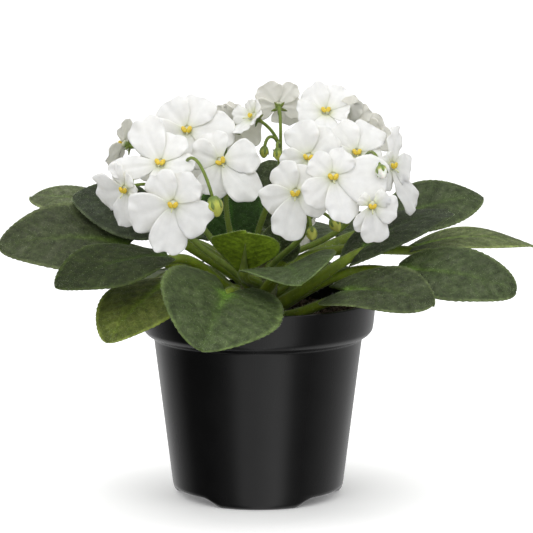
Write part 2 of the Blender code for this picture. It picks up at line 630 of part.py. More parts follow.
def make_pot(finish):
    """The pot: a turned wall, with arches raised between its feet and drain holes in its base."""
    inner_step = RIM_FOOT_RADIUS - WALL
    floor = BASE_HEIGHT + WALL
    profile = [
        (0.0, BASE_HEIGHT), (GROUND_RADIUS - FOOT_WIDTH - 0.8, BASE_HEIGHT),
        (GROUND_RADIUS - FOOT_WIDTH, 0.0), (GROUND_RADIUS, 0.0), (37.4, 1.8),
        (BODY_FOOT_RADIUS, BODY_FOOT_HEIGHT), (BODY_TOP_RADIUS, STEP_HEIGHT), (49.4, 72.8),
        (50.9, 74.6), (RIM_FOOT_RADIUS, RIM_FOOT_HEIGHT), (RIM_RADIUS, RIM_TOP - EDGE),
        (RIM_RADIUS - EDGE, RIM_TOP), (RIM_RADIUS - WALL, RIM_TOP),
        (inner_step, RIM_FOOT_HEIGHT), (49.2, 75.4), (BODY_TOP_RADIUS - WALL, 73.2),
        (BODY_FOOT_RADIUS - WALL, floor + 1.5), (BODY_FOOT_RADIUS - WALL - 1.5, floor), (0.0, floor)]
    pot = turned("pot", profile, POT_SEGMENTS, finish)
    for vertex in pot.data.vertices:
        height = vertex.co.z / MM
        if height < BASE_HEIGHT - 0.1:
            angle = math.degrees(math.atan2(vertex.co.y, vertex.co.x))
            vertex.co.z = (height + foot_arch(angle) * (1 - height / BASE_HEIGHT)) * MM
    cutters = bpy.data.collections.new("drain_holes")
    bpy.context.scene.collection.children.link(cutters)
    places = [(0.0, 0.0)]
    for index in range(DRAIN_COUNT):
        angle = 2 * math.pi * index / DRAIN_COUNT
        places.append((DRAIN_CIRCLE * math.cos(angle), DRAIN_CIRCLE * math.sin(angle)))
    for index, (x, y) in enumerate(places):
        shape = bmesh.new()
        bmesh.ops.create_cone(shape, cap_ends=True, segments=DRAIN_SIDES, radius1=DRAIN_RADIUS * MM,
                              radius2=DRAIN_RADIUS * MM, depth=4 * WALL * MM)
        mesh = bpy.data.meshes.new(f"drain_hole_{index}")
        shape.to_mesh(mesh)
        shape.free()
        hole = bpy.data.objects.new(mesh.name, mesh)
        hole.location = (x * MM, y * MM, (BASE_HEIGHT + WALL / 2) * MM)
        cutters.objects.link(hole)
    cut = pot.modifiers.new("drain_holes", "BOOLEAN")
    cut.operation = "DIFFERENCE"
    cut.operand_type = "COLLECTION"
    cut.collection = cutters
    depsgraph = bpy.context.evaluated_depsgraph_get()
    pot.data = bpy.data.meshes.new_from_object(pot.evaluated_get(depsgraph))
    pot.modifiers.clear()
    for hole in list(cutters.objects):
        bpy.data.objects.remove(hole)
    bpy.data.collections.remove(cutters)
    return pot


def make_soil(finish):
    """The soil: it fills the pot, and the crown stands in a plain hole in it."""
    clear = WALL + GAP
    floor = BASE_HEIGHT + WALL + GAP
    profile = [
        (0.0, floor), (BODY_FOOT_RADIUS - WALL - 1.9, floor), (BODY_FOOT_RADIUS - clear, floor + 1.7),
        (BODY_TOP_RADIUS - clear, 73.5), (49.2 - GAP, 75.8),
        (RIM_FOOT_RADIUS - clear, RIM_FOOT_HEIGHT + 0.2), (RIM_FOOT_RADIUS - clear, SOIL_TOP - 0.6),
        *((radius, SOIL_TOP) for radius in SOIL_RINGS),
        (CROWN_NECK_RADIUS + GAP + 0.1, SOIL_TOP), (CROWN_FOOT_RADIUS + GAP + 0.1, CROWN_FOOT - GAP),
        (0.0, CROWN_FOOT - GAP)]
    soil = turned("potting_soil", profile, SOIL_SEGMENTS, finish)
    for vertex in soil.data.vertices:
        x, y, z = (value / MM for value in vertex.co)
        radius = math.hypot(x, y)
        if z > SOIL_TOP - 0.1 and radius > 15:
            unevenness = math.sin(0.21 * x + 1.3) * math.cos(0.17 * y)
            vertex.co.z += (SOIL_UNEVENNESS * unevenness + 0.5) * MM
    return soil


def make_crown(finish):
    """The crown: a short stem above the soil, with its root stock below."""
    profile = [(0.0, CROWN_FOOT), (CROWN_FOOT_RADIUS, CROWN_FOOT), (CROWN_NECK_RADIUS, CROWN_NECK),
               (CROWN_TOP_RADIUS, CROWN_TOP)]
    profile += [(radius, CROWN_TOP + rise) for radius, rise in CROWN_ROUNDING]
    return turned("crown", profile, CROWN_SEGMENTS, finish)


def main():
    """Builds the whole plant."""
    for old in list(bpy.data.objects):
        bpy.data.objects.remove(old)
    plastic = material("black_plastic", (0.012, 0.012, 0.013), 0.32)
    earth = material("soil", (0.035, 0.024, 0.016), 0.95)
    flesh = material("crown_flesh", (0.16, 0.20, 0.06), 0.6)
    green = material("leaf_green", (0.05, 0.10, 0.035), 0.55)
    stalk_green = material("stalk_green", (0.16, 0.24, 0.05), 0.5)
    white = material("petal_white", (0.85, 0.85, 0.83), 0.5)
    make_pot(plastic)
    make_soil(earth)
    make_crown(flesh)
    for item in LEAVES:
        make_leaf(item, green)
    for item in BLOOMS:
        make_bloom(item, white)
    blooms = {item["name"]: item for item in BLOOMS}
    for item in FLOWER_STALKS:
        make_flower_stalk(item, blooms, stalk_green)
    to_place = Matrix.Translation([value * MM for value in POT_AXIS])
    for made in bpy.context.scene.objects:
        made.data.transform(to_place)


main()
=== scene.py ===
"""The looks of a potted African violet with white flowers in a black nursery pot.

Each solid is replaced by a finely shaped piece of its own: velvety leaves with veins and hairs,
margins painted pale as a highlight, ruffled petals round golden anthers, downy stalks, crumbly
soil and a satin plastic pot. Some colours carry painted light and shade, noted where they are
set. Sizes and places are in millimetres from the pot's axis and the ground, as in the solids.
They become metres in the shared frame where a mesh is made.
"""
import math

import bpy
import numpy as np
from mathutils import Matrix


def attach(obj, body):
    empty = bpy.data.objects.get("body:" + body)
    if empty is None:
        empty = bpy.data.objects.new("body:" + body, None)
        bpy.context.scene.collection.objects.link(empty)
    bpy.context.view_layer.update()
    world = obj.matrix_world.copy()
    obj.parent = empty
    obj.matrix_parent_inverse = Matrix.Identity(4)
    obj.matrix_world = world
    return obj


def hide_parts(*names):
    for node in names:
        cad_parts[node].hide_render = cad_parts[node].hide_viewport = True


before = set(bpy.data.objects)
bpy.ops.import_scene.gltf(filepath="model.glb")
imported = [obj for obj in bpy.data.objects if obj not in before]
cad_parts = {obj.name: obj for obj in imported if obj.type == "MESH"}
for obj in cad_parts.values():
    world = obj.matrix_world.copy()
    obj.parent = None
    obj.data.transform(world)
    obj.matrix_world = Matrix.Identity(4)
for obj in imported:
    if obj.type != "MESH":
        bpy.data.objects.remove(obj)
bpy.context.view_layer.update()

MM = 0.001
BODY = "root"
TAU = 2 * math.pi
POT_AXIS = np.array((-5.0, -10.4, 0.0))
X_AXIS, Y_AXIS, UP = np.eye(3)
SEED = 20

# Camera and floor
CAMERA_PLACE = (3.77, -1400.0, 315.0)
CAMERA_PITCH = 8.64
CAMERA_LENS = 215.8
CAMERA_SENSOR = 36.0
CAMERA_REACH = 30.0
FLOOR_SIZE = 12.0

# Studio light: levels by direction, in shares of a full turn from the back and of the way up, the
# floor's painted glow near and far with its two distances, dim near the pot as a painted shadow
# round its foot, and lamps by place, aim height, size and power
REFLECTED_BANDS = ((0.0, 0.66), (0.06, 0.62), (0.10, 0.14), (0.18, 0.03), (0.26, 0.03), (0.33, 0.35),
                   (0.40, 0.72), (0.60, 0.68), (0.69, 0.50), (0.76, 0.30), (0.83, 0.08), (0.88, 0.22),
                   (0.92, 1.00), (0.95, 0.90), (1.0, 0.66))
REFLECTED_LEVELS = ((0.0, 1.0), (0.49, 1.0), (0.53, 0.35), (1.0, 0.45))
FLOOR_GLOW = (0.085, 0.47, (0.025, 0.11))
GLOW_CENTRE = (0.0, -35.0, 0.0)
SKY_LEVELS = ((0.0, 0.58), (0.49, 0.60), (0.51, 0.68), (0.75, 0.77), (1.0, 0.80))
SEEN_LEVEL = 1.15
LIGHTS = (("key", (-0.5, -1.0, 1.2), 0.12, 1.5, 11.5),
          ("fill", (0.9, -0.8, 0.9), 0.12, 1.0, 3.5),
          ("top", (0.1, 0.1, 1.5), 0.10, 0.9, 2.5))

# Pot
RIM_RADIUS = 52.5
RIM_TOP = 88.5
RIM_FOOT_RADIUS = 51.4
RIM_FOOT_HEIGHT = 77.5
STEP_HEIGHT = 71.0
BODY_TOP_RADIUS = 46.3
BODY_FOOT_RADIUS = 38.2
BODY_FOOT_HEIGHT = 6.0
GROUND_RADIUS = 35.9
FOOT_WIDTH = 2.6
WALL = 1.3
BASE_HEIGHT = 5.0
ARCH_HEIGHT = 3.5
FOOT_COUNT = 3
FOOT_HALF_ANGLE = 26
ARCH_START_ANGLE = 41
DRAIN_RADIUS = 3.5
DRAIN_CIRCLE = 22.0
DRAIN_COUNT = 5
DRAIN_SIDES = 32
EDGE_ROUNDING = 0.8
LONGEST_RUN = 4.0
SHARP_ANGLE = 40
POT_SEGMENTS = 240

# Soil and crown
SOIL_TOP = 80.0
SOIL_RADIUS = 49.7
SOIL_RINGS = 34
SOIL_SEGMENTS = 150
SOIL_GRIT = 0.16
CRUMB_COUNT = 900
CROWN_FOOT = 76.0
CROWN_NECK = 80.0
CROWN_NECK_RADIUS = 9.6
CROWN_TOP = 108.0
CROWN_TOP_RADIUS = 6.6
CROWN_RINGS = 30
CROWN_SEGMENTS = 40
YOUNG_LEAVES = 7

# Stems of both kinds
ROOT_HANDLE = 0.4
END_HANDLE = 0.35
ROOT_SINK = 1.2
STEM_SIDE = np.array((0.31, 0.17, 0.94))

# Hairs: how many, how long and how thick, and the share of its length that each has
MARGIN_HAIRS = (520, 0.65, 0.03)
BLADE_HAIRS = (700, 0.7, 0.035)
STALK_HAIRS = (420, 1.1, 0.04)
PEDUNCLE_HAIRS = (700, 0.75, 0.03)
PEDICEL_HAIRS = (260, 0.75, 0.03)
BUD_STALK_HAIRS = (120, 0.75, 0.03)
BUD_HAIRS = (160, 0.7, 0.03)
CROWN_HAIRS = (500, 1.2, 0.04)
HAIR_RANGE = (0.6, 1.15)
HAIR_SINK = 0.15

# Leaves
BLADE_ROWS = 56
BLADE_CELLS = 36
TIP_REACH = 0.994
BLADE_MIDDLE = 1.0
BLADE_MARGIN = 0.4
LOBE_ANGLE = math.radians(18)
TIP_NARROWING = 0.18
TAPER_END = 0.6
FOLD_ROUNDING = 2.0
WAVE_HEIGHT = 0.8
WAVE_TURNS = 9.0
WAVE_SKEW = 2.0
MIDRIB_SWEEP = 1.3
MIDRIB_WIDTH = 0.055
VEIN_COUNT = 7.0
VEIN_SWEEP = 2.4
VEIN_WIDTH = 0.10
QUILT_HEIGHT = 0.32
MOTTLE_HEIGHT = 0.12
GROOVE_DEPTH = 0.35
RIB_HEIGHT = 0.5
SCALLOPS = 26
SCALLOP_DEPTH = 0.012
STALK_SIDES = 12
STALK_RADII = (2.9, 2.2)
STALK_DROP = 1.9
STALK_POINTS = 24
RIB_START = 0.06
RIB_END = 0.7
RIB_POINTS = 12

# Flowers: the petals go round from the upper right one, clockwise as seen from the front
PETAL_ANGLES = (33, 101, 180, 259, 327)
PETAL_LENGTHS = (14.5, 18.5, 21.0, 18.5, 14.5)
PETAL_HALF_WIDTHS = (7.3, 8.6, 7.7, 8.6, 7.3)
PETAL_TILTS = (-0.10, 0.02, 0.14, 0.02, -0.10)
PETAL_WIDEST = 0.60
PETAL_TWIST = 0.16
PETAL_THICKNESS = 0.3
PETAL_BASE_ARC = 84
PETAL_TIP_ARC = 84
PETAL_CURL = (-0.02, 0.09)
PETAL_CAMBER = 0.5
PETAL_ROWS = 10
PETAL_CELLS = 16
TIP_SQUARENESS = 2.5
RUFFLE_HEIGHT = 0.55
CREASE_DEPTH = 0.45
FLUTE_HEIGHT = 0.05
THROAT_RADIUS = 1.9
THROAT_DEPTH = 3.2
THROAT_RINGS = ((0.3, THROAT_RADIUS), (0.6, 1.8), (1.1, 1.6), (1.9, 1.35), (2.6, 1.05),
                (THROAT_DEPTH, 0.7))
THROAT_SIDES = 20
ANTHER_SPREAD = 1.1
ANTHER_RISE = 1.4
STYLE_RADII = (0.3, 0.22)
STYLE_POINTS = 8
SEPAL_COUNT = 5
SEPAL_LENGTH = 4.2
SEPAL_WIDTH = 1.3
SEPAL_THICKNESS = 0.28
BUD_LENGTH = 6.6
BUD_RADIUS = 2.5
BUD_RINGS = 12
BUD_SIDES = 20
PEDUNCLE_RADII = (1.5, 1.15)
PEDUNCLE_POINTS = 34
PEDUNCLE_SIDES = 12
PEDICEL_RADIUS = 0.72
PEDICEL_POINTS = 24
PEDICEL_SIDES = 9
BUD_STALK_POINTS = 18
FORK_SINK = 0.6

# Colours, linear
LEAF_TOP = (0.036, 0.056, 0.014)
# Partly the greyish down over the whole leaf top, partly a painted sheen in patches on the raised fields
# between veins.
LEAF_DOWN_AND_SHEEN = (0.086, 0.104, 0.056)
# Painted shade: the top's side veins are darkened as if shaded in their sunken grooves.
LEAF_VEIN_GROOVE_SHADE = (0.022, 0.044, 0.006)
LEAF_MIDRIB = (0.075, 0.120, 0.025)
LEAF_JOINT = (0.115, 0.215, 0.028)
# Painted highlight: the pale line where the margin's hairs catch the light.
LEAF_MARGIN_HIGHLIGHT = (0.135, 0.180, 0.065)
LEAF_UNDER = (0.120, 0.175, 0.022)
LEAF_UNDER_VEIN = (0.165, 0.220, 0.045)
# Painted light: the stalks' green is brightened to make up for the shade they lie in under the leaves.
LEAF_STALK_WITH_PAINTED_LIGHT = (0.150, 0.215, 0.009)
HAIR = (0.36, 0.42, 0.27)
STEM = (0.165, 0.235, 0.035)
SEPAL = (0.150, 0.215, 0.040)
BUD = (0.450, 0.480, 0.085)
PETAL = (0.890, 0.882, 0.852)
# Partly the back's own cream colour, partly painted light: brightened above the front's white to stand in
# for light shining through the petal.
PETAL_BACK_LIT_THROUGH = (0.930, 0.908, 0.810)
PETAL_HEART = (0.560, 0.640, 0.260)
POLLEN = (0.740, 0.550, 0.055)
STYLE = (0.620, 0.640, 0.330)
PEAT = (0.030, 0.020, 0.013)
PEAT_DRY = (0.075, 0.050, 0.032)
CROWN = (0.110, 0.115, 0.040)
PLASTIC = (0.0035, 0.0035, 0.0036)
WHITE = (1.0, 1.0, 1.0, 1.0)
FLOOR_GREY = (0.88, 0.88, 0.88, 1.0)

# Plain skins: noises that scale their colours, and one that is their gloss, each with a scale, a
# detail, a low and a high value, and its stretch where it has one. Then their relief's scale and
# detail, its strength and its height in metres, and the shader's constant values.
NOISE_SPAN = (0.3, 0.7)
SKINS = {
    "violet_stem_skin": (
        [(420, 3, 0.80, 1.22, (1, 1, 0.3))], (300, 3, 0.42, 0.58), (1600, 2), 0.4, 0.00015,
        dict(Sheen_Weight=0.12, Sheen_Roughness=0.4, Specular_IOR_Level=0.4, Subsurface_Weight=0.12,
             Subsurface_Scale=0.002)),
    "violet_petal": (
        [(300, 4, 0.95, 1.04)], (700, 3, 0.42, 0.58), (2200, 2), 0.35, 0.0001,
        dict(Subsurface_Weight=0.5, Subsurface_Scale=0.002, Subsurface_Radius=(1, 0.95, 0.85),
             Specular_IOR_Level=0.3, Sheen_Weight=0.08, Sheen_Roughness=0.5)),
    "violet_anther": (
        [(1400, 3, 0.75, 1.2)], (900, 3, 0.40, 0.65), (3200, 2), 0.5, 0.00012,
        dict(Specular_IOR_Level=0.4, Subsurface_Weight=0.1, Subsurface_Scale=0.001)),
    "potting_mix_peat": (
        [(240, 5, 0.55, 1.5), (900, 4, 0.7, 1.5, (1, 0.35, 1))], (500, 3, 0.80, 0.98),
        (1100, 6), 0.9, 0.0006, dict(Specular_IOR_Level=0.25)),
    "black_pot_plastic": (
        [(90, 3, 0.8, 1.3)], (60, 4, 0.22, 0.30, (1, 1, 0.06)), (2600, 2), 0.08, 0.00008,
        dict(IOR=1.5)),
}


def leaf(name, root, joint, tip, half_width, face, lobe=0.11, widest=0.40, arch=0.08, fold=0.0,
         taper=0.0, lift=0.5, rise=0.0, tone_and_painted_light=(1.0, 1.0, 1.0)):
    """A leaf: where its stalk leaves the crown (angle, height), its blade's two ends and its face.

    Lobe, widest, arch, fold and taper shape the blade. Lift and rise bend the stalk at its two
    ends, and the last value scales the blade's colours: partly the leaf's own shade of green, partly
    painted light and shade that make it lighter or darker for how it is lit.
    """
    return dict(name=name, root=root, joint=joint, tip=tip, half_width=half_width, face=face, lobe=lobe,
                widest=widest, arch=arch, fold=fold, taper=taper, lift=lift, rise=rise, tone_and_painted_light=tone_and_painted_light)


# Each leaf's last colour values scale its blade partly for its own green and partly as painted light and
# shade: lighter where a leaf under others is lit through, darker where it lies in shade.
LEAVES = [
    leaf("front_heart", (256, 84), (-13.5, -44, 96.5), (-24, -79, 78.3), 27, (0.22, -0.6, 0.8),
         lobe=0.45, fold=0.26, tone_and_painted_light=(0.95, 1.01, 0.85)),
    leaf("front_left", (226, 83), (-39, -28, 99), (-64, -56, 78), 19, (-0.45, -0.7, 0.55),
         tone_and_painted_light=(1.95, 1.8, 0.9)),
    leaf("left_low", (206, 89), (-39, -27, 111), (-86, -52, 101), 18.5, (0.0, -0.35, 0.9),
         lobe=0.05, widest=0.5, arch=0.075, taper=0.25, tone_and_painted_light=(0.46, 0.5, 0.3)),
    leaf("left_wide", (182, 91), (-57, -6, 113), (-113, -20, 114), 23, (0.1, -0.5, 0.8),
         lift=0.2, rise=0.25, tone_and_painted_light=(0.93, 0.86, 0.94)),
    leaf("left_high", (170, 97), (-45, 2, 120), (-82, 6, 133), 18, (0.4, -0.5, 0.7),
         tone_and_painted_light=(0.62, 0.6, 0.8)),
    leaf("left_rear", (136, 95), (-66, 34, 122), (-104, 46, 127), 15, (0.1, -0.3, 0.9),
         tone_and_painted_light=(1.8, 1.6, 1.9)),
    leaf("inner_front", (262, 96), (-6, -18, 104), (-5, -36, 123), 15, (0.1, 0.8, 0.6), arch=0.0,
         widest=0.68, taper=0.5, tone_and_painted_light=(1.5, 1.55, 0.8)),
    leaf("inner_fold", (290, 92), (11, -24, 104.5), (19, -59, 103.5), 21, (-0.18, -0.1, 0.95), fold=0.2,
         tone_and_painted_light=(1.0, 1.08, 0.95)),
    leaf("right_front", (303, 81), (38, -36, 97), (75, -55, 93.5), 17.5, (0.0, -0.46, 0.9), lobe=0.3,
         fold=0.1, lift=0.05, rise=0.45, tone_and_painted_light=(0.92, 0.9, 0.9)),
    leaf("right_low", (330, 83), (61, -20, 103.5), (112, -34, 96.5), 19, (-0.1, -0.5, 0.8), lobe=0.03,
         taper=0.25, lift=0.7, rise=-0.15),
    leaf("right_mid", (322, 85), (47, -14, 113.5), (86, 2, 126), 17, (-0.2, -0.24, 0.93), lobe=0.3,
         lift=0.42, tone_and_painted_light=(0.55, 0.57, 0.6)),
    leaf("right_long", (4, 97), (71, 3, 111), (123, 8, 110), 14, (0.0, -0.15, 0.98), lift=0.9,
         tone_and_painted_light=(2.0, 1.85, 1.65)),
    leaf("right_high", (20, 97), (58, 28, 118), (102, 40, 128), 16, (-0.2, -0.6, 0.75)),
    leaf("inner_left", (146, 103), (-12, 14, 112), (-12, 28, 141), 14, (0.0, -0.85, 0.5), fold=0.2,
         tone_and_painted_light=(0.55, 1.0, 0.4)),
    leaf("inner_right", (66, 102), (12, 19, 118), (4, 30, 146), 14, (0.0, -0.8, 0.6), fold=0.1),
    leaf("inner_small", (322, 102), (10, -9, 107), (10, -14, 124), 9, (-0.2, -0.9, 0.2)),
    leaf("back_low_right", (48, 84), (34, 32, 98), (60, 60, 78), 20, (0.5, 0.4, 0.8)),
    leaf("back_low", (92, 84), (0, 45, 99), (2, 84, 78), 22, (0.0, 0.5, 0.85)),
    leaf("back_low_left", (132, 84), (-33, 32, 98), (-58, 58, 78), 20, (-0.5, 0.4, 0.8)),
    leaf("back_right", (36, 90), (42, 40, 110), (74, 72, 112), 18, (0.1, -0.2, 0.95)),
    leaf("back_middle", (78, 90), (14, 58, 104), (20, 100, 108), 19, (0.0, -0.1, 0.98)),
    leaf("back_left", (118, 90), (-30, 50, 108), (-54, 86, 110), 19, (0.0, -0.1, 0.98)),
]


def bloom(name, centre, face, size=1.0, turn=0, cup=0.0, petals=(1, 1, 1, 1, 1), swings=(0, 0, 0, 0, 0),
          widths=(1, 1, 1, 1, 1)):
    """A flower: its centre, facing, turn in degrees, and its petals' own sizes, swings and widths."""
    return dict(name=name, centre=centre, face=face, size=size, turn=turn, cup=cup, petals=petals,
                swings=swings, widths=widths)


BLOOMS = [
    bloom("left_outer", (-59.3, 2, 156.8), (-0.8, 0.5, 0.2), 0.9, petals=(0.95, 0.75, 0.5, 0.4, 0.4),
          swings=(-15, 25, 0, 0, 0), widths=(0.7, 1.25, 1, 1, 1)),
    bloom("left_low", (-57, -38, 141.5), (-0.7, -0.65, -0.25), 0.94, petals=(0.6, 0.45, 0.9, 1.1, 0.9),
          swings=(0, 0, 12, 0, 0)),
    bloom("left_middle", (-42, -31, 152), (-0.1, -0.85, 0.45), 1.08, cup=0.2,
          petals=(0.95, 0.75, 0.5, 1.08, 1.4), swings=(-6, 0, 0, -4, 6), widths=(1, 1, 1, 0.55, 0.72)),
    bloom("left_front", (-36, -52, 137), (-0.15, -0.97, -0.1), 1.03, petals=(1, 0.93, 1, 1.05, 1),
          swings=(4, 22, 8, -7, 2)),
    bloom("left_top", (-31, -8, 164), (-0.15, -0.9, 0.25), 1.12, turn=-8),
    bloom("left_inner", (-16, -25, 152), (0.05, -0.95, 0.1), 1.05, turn=-36,
          petals=(0.9, 0.85, 0.98, 0.82, 0.9), swings=(-20, 14, -8, -22, 0)),
    bloom("centre_turned", (-10.3, 2, 163.3), (0.35, 0.9, 0.15), 0.9,
          petals=(0.95, 0.8, 0.6, 0.8, 0.95), swings=(-8, 0, 0, 11, 30), widths=(0.7, 1, 1, 1.1, 0.8)),
    bloom("centre_small", (-2.5, -8, 170), (-0.7, -0.5, 0.45), 0.5, cup=0.5),
    bloom("centre_top", (9, 8, 173), (-0.1, 0.95, 0.25), 0.66,
          petals=(1.3, 1.0, 0.6, 0.85, 1.3), widths=(1.05, 1, 1, 1, 0.75)),
    bloom("right_top", (30, 2, 171), (0.0, -0.75, 0.6), 0.95, cup=0.3, petals=(1, 0.6, 0.8, 0.75, 1)),
    bloom("right_rear", (22, 24, 166.6), (-0.1, 0.8, 0.6), 0.65, petals=(0.6, 1, 0.7, 0.7, 0.7),
          swings=(0, -10, 0, 0, 0)),
    bloom("right_side", (41, 5, 164.2), (0.1, 0.95, 0.2), 0.85, petals=(1.16, 0.4, 0.5, 0.8, 1),
          swings=(-36, 45, 0, 0, 0), widths=(0.75, 1, 1, 1, 0.9)),
    bloom("right_inner", (22, -26, 154), (-0.1, -0.95, 0.1), 0.95,
          petals=(1.1, 0.9, 0.6, 0.7, 1.15), swings=(16, 0, 0, 0, 15)),
    bloom("right_front", (32, -54, 149), (0.05, -0.97, 0.1), 1.05, petals=(0.8, 1.2, 0.9, 0.8, 0.8),
          swings=(-6, -6, -18, -34, -16)),
    bloom("centre_front", (16.4, -44, 140.8), (-0.2, -0.95, -0.1), 0.98,
          petals=(0.9, 0.8, 1.0, 0.87, 1), swings=(0, 14, 13, -8, 0)),
    bloom("right_upper", (43, -19, 155), (0.1, -0.85, 0.35), 0.95, petals=(1.15, 0.65, 0.9, 0.6, 1.15)),
    bloom("right_low", (48.5, -58, 137.3), (0.15, -0.93, -0.2), 0.74,
          petals=(0.75, 0.84, 1.09, 0.94, 0.6), swings=(27, 5, -8, -57, -23), widths=(1, 1.15, 1, 0.8, 1)),
    bloom("right_outer", (58.5, -18, 149.5), (0.7, -0.7, 0.0), 0.88,
          petals=(1.33, 0.76, 1.36, 0.73, 0.5), swings=(-18, 4, -32, -57, 0),
          widths=(0.45, 1.25, 0.65, 0.8, 1)),
    bloom("right_turned", (50, 10, 155), (0.35, 0.9, 0.1), 0.8, petals=(1, 1, 0.8, 0.8, 1.32),
          swings=(0, 0, 0, 38, 23), widths=(1, 1, 1, 1.1, 0.75)),
    bloom("back_left", (-38, 24, 148), (-0.5, 0.85, 0.2), 0.95),
    bloom("back_inner", (-20, 40, 143), (-0.1, 0.95, 0.1), 0.9),
    bloom("back_low", (-14, 54, 122), (-0.1, 0.95, -0.1), 0.92),
    bloom("back_right", (34, 34, 146), (0.4, 0.9, 0.1), 0.95),
    bloom("back_low_right", (20, 53, 119), (0.93, 0.35, -0.1), 0.8),
]


def bud(place, face, size=1.0, white=0.0, bow=1.0):
    """A closed bud: base, direction, size, how white its tip is and how far its side stalk bows out."""
    return dict(place=place, face=face, size=size, white=white, bow=bow)


def flower_stalk(name, root, fork, blooms, buds=(), lift=1.2):
    """A flower stalk: where it leaves the crown, where it forks, and what its branches carry."""
    return dict(name=name, root=root, fork=fork, blooms=blooms, buds=buds, lift=lift)


FLOWER_STALKS = [
    flower_stalk("left_front", (232, 93), (-34, -25, 132),
                 ("left_low", "left_middle", "left_front"),
                 (bud((-19.3, -50, 140), (0.25, -0.2, -0.9), 1.35, bow=2.5),)),
    flower_stalk("left_rear", (198, 98), (-34, 4, 146),
                 ("left_outer", "left_top", "back_left")),
    flower_stalk("inner", (222, 101), (-14, -12, 136),
                 ("left_inner", "centre_turned")),
    flower_stalk("centre", (104, 102), (10, 1, 152),
                 ("centre_small", "centre_top"),
                 (bud((3, -5, 156.5), (-0.1, -0.1, -1.0), 0.8, bow=2.4),
                  bud((8.5, -8, 156), (0.1, -0.2, -1.0), 0.85, bow=1.6)), lift=4),
    flower_stalk("right_front", (300, 99), (22, -28, 130),
                 ("centre_front", "right_front", "right_inner"),
                 (bud((23, -31, 124), (0.1, -0.7, -0.7)), bud((32, -26, 127), (0.4, -0.4, -0.6)))),
    flower_stalk("right", (8, 104), (44, -10, 136),
                 ("right_upper", "right_low", "right_outer"),
                 (bud((52, -52, 153.5), (0.2, -0.6, -0.75), 1.0, white=0.9),), lift=0.45),
    flower_stalk("right_rear", (34, 103), (34, 10, 146),
                 ("right_top", "right_rear", "right_side", "right_turned")),
    flower_stalk("back", (92, 96), (8, 40, 124),
                 ("back_inner", "back_low", "back_right", "back_low_right")),
]


def unit(vector):
    """The vector, or each vector of an array, at length one."""
    vector = np.asarray(vector, float)
    return vector / np.linalg.norm(vector, axis=-1, keepdims=True)


def across(vector, axis):
    """The part of vector that is square to axis, at length one."""
    return unit(vector - np.dot(vector, axis) * axis)


def swung(first, second, angle):
    """The first axis turned by an angle towards the second."""
    return math.cos(angle) * first + math.sin(angle) * second


def bezier(points, count):
    """Points along the cubic curve through four control points."""
    t = np.linspace(0.0, 1.0, count)[:, None]
    a, b, c, d = (np.asarray(point, float) for point in points)
    return a * (1 - t) ** 3 + 3 * b * t * (1 - t) ** 2 + 3 * c * t ** 2 * (1 - t) + d * t ** 3


def blend(a, b, share):
    """A colour, or one for each share, between two colours."""
    share = np.clip(np.asarray(share, float), 0.0, 1.0)[..., None]
    return np.asarray(a) * (1 - share) + np.asarray(b) * share


def bell(value, width):
    """One at zero, falling off smoothly over a width."""
    return np.exp(-(np.asarray(value) / width) ** 2)


def smooth(value, low, high):
    """A smooth step from zero at low to one at high."""
    share = np.clip((np.asarray(value) - low) / (high - low), 0.0, 1.0)
    return share * share * (3 - 2 * share)


def added(name, data):
    """A new object in the scene."""
    made = bpy.data.objects.new(name, data)
    bpy.context.scene.collection.objects.link(made)
    return made


class Gather:
    """Points with a colour each, and faces with a material number each, for one piece."""

    def __init__(self):
        self.points = []
        self.tints = []
        self.faces = []
        self.slots = []
        self.count = 0

    def add(self, points, faces, tints, slot=0):
        """Adds points in millimetres, with one colour for all of them or one for each."""
        points = np.asarray(points, float).reshape(-1, 3)
        tints = np.asarray(tints, float).reshape(-1, 3)
        self.points.append(points)
        self.tints.append(np.broadcast_to(tints, points.shape))
        for block in faces:
            block = np.asarray(block, int)
            self.faces += (block + self.count).tolist()
            self.slots += [slot] * len(block)
        self.count += len(points)

    def add_sheet(self, upper, lower, top, under):
        """Adds a closed sheet between two grids of points, with the colours of its two sides."""
        tints = [np.broadcast_to(tint, upper.shape) for tint in (top, under)]
        self.add((upper, lower), sheet_faces(*upper.shape[:2]), tints)

    def add_tube(self, path, radii, sides, side, tints, slot=0, section=None):
        """Adds a closed tube with one colour, or one for each ring, and returns its points and outs."""
        rings, outs = tube_points(path, radii, sides, side, section)
        tints = np.broadcast_to(np.asarray(tints, float).reshape(-1, 1, 3), rings.shape)
        self.add(rings, tube_faces(len(rings), sides), tints, slot)
        return rings, outs

    def mesh(self, name):
        """A mesh of all that was added, in metres in the shared frame."""
        mesh = bpy.data.meshes.new(name)
        points = (np.concatenate(self.points) + POT_AXIS) * MM
        mesh.from_pydata(points.tolist(), [], self.faces)
        tints = np.column_stack((np.concatenate(self.tints), np.ones(self.count)))
        layer = mesh.color_attributes.new("tint", "FLOAT_COLOR", "POINT")
        layer.data.foreach_set("color", tints.astype(np.float32).ravel())
        mesh.polygons.foreach_set("material_index", np.array(self.slots, np.int32))
        return mesh

    def make(self, name, materials, node_name):
        """The piece, in place of a node."""
        mesh = self.mesh(name)
        for finish in materials:
            mesh.materials.append(finish)
        mesh.shade_smooth()
        piece = added(name, mesh)
        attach(piece, BODY)
        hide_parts(node_name)
        return piece


def sheet_faces(rows, wide):
    """Faces of a closed sheet whose upper and lower points are two grids of rows by wide."""
    count = rows * wide
    at = np.arange(count).reshape(rows, wide)
    quads = np.stack((at[:-1, :-1], at[:-1, 1:], at[1:, 1:], at[1:, :-1]), -1).reshape(-1, 4)
    ring = np.concatenate((at[0], at[1:, -1], at[-1, -2::-1], at[-2:0:-1, 0]))
    after = np.roll(ring, -1)
    rim = np.stack((after, ring, ring + count, after + count), -1)
    return [quads, quads[:, ::-1] + count, rim]


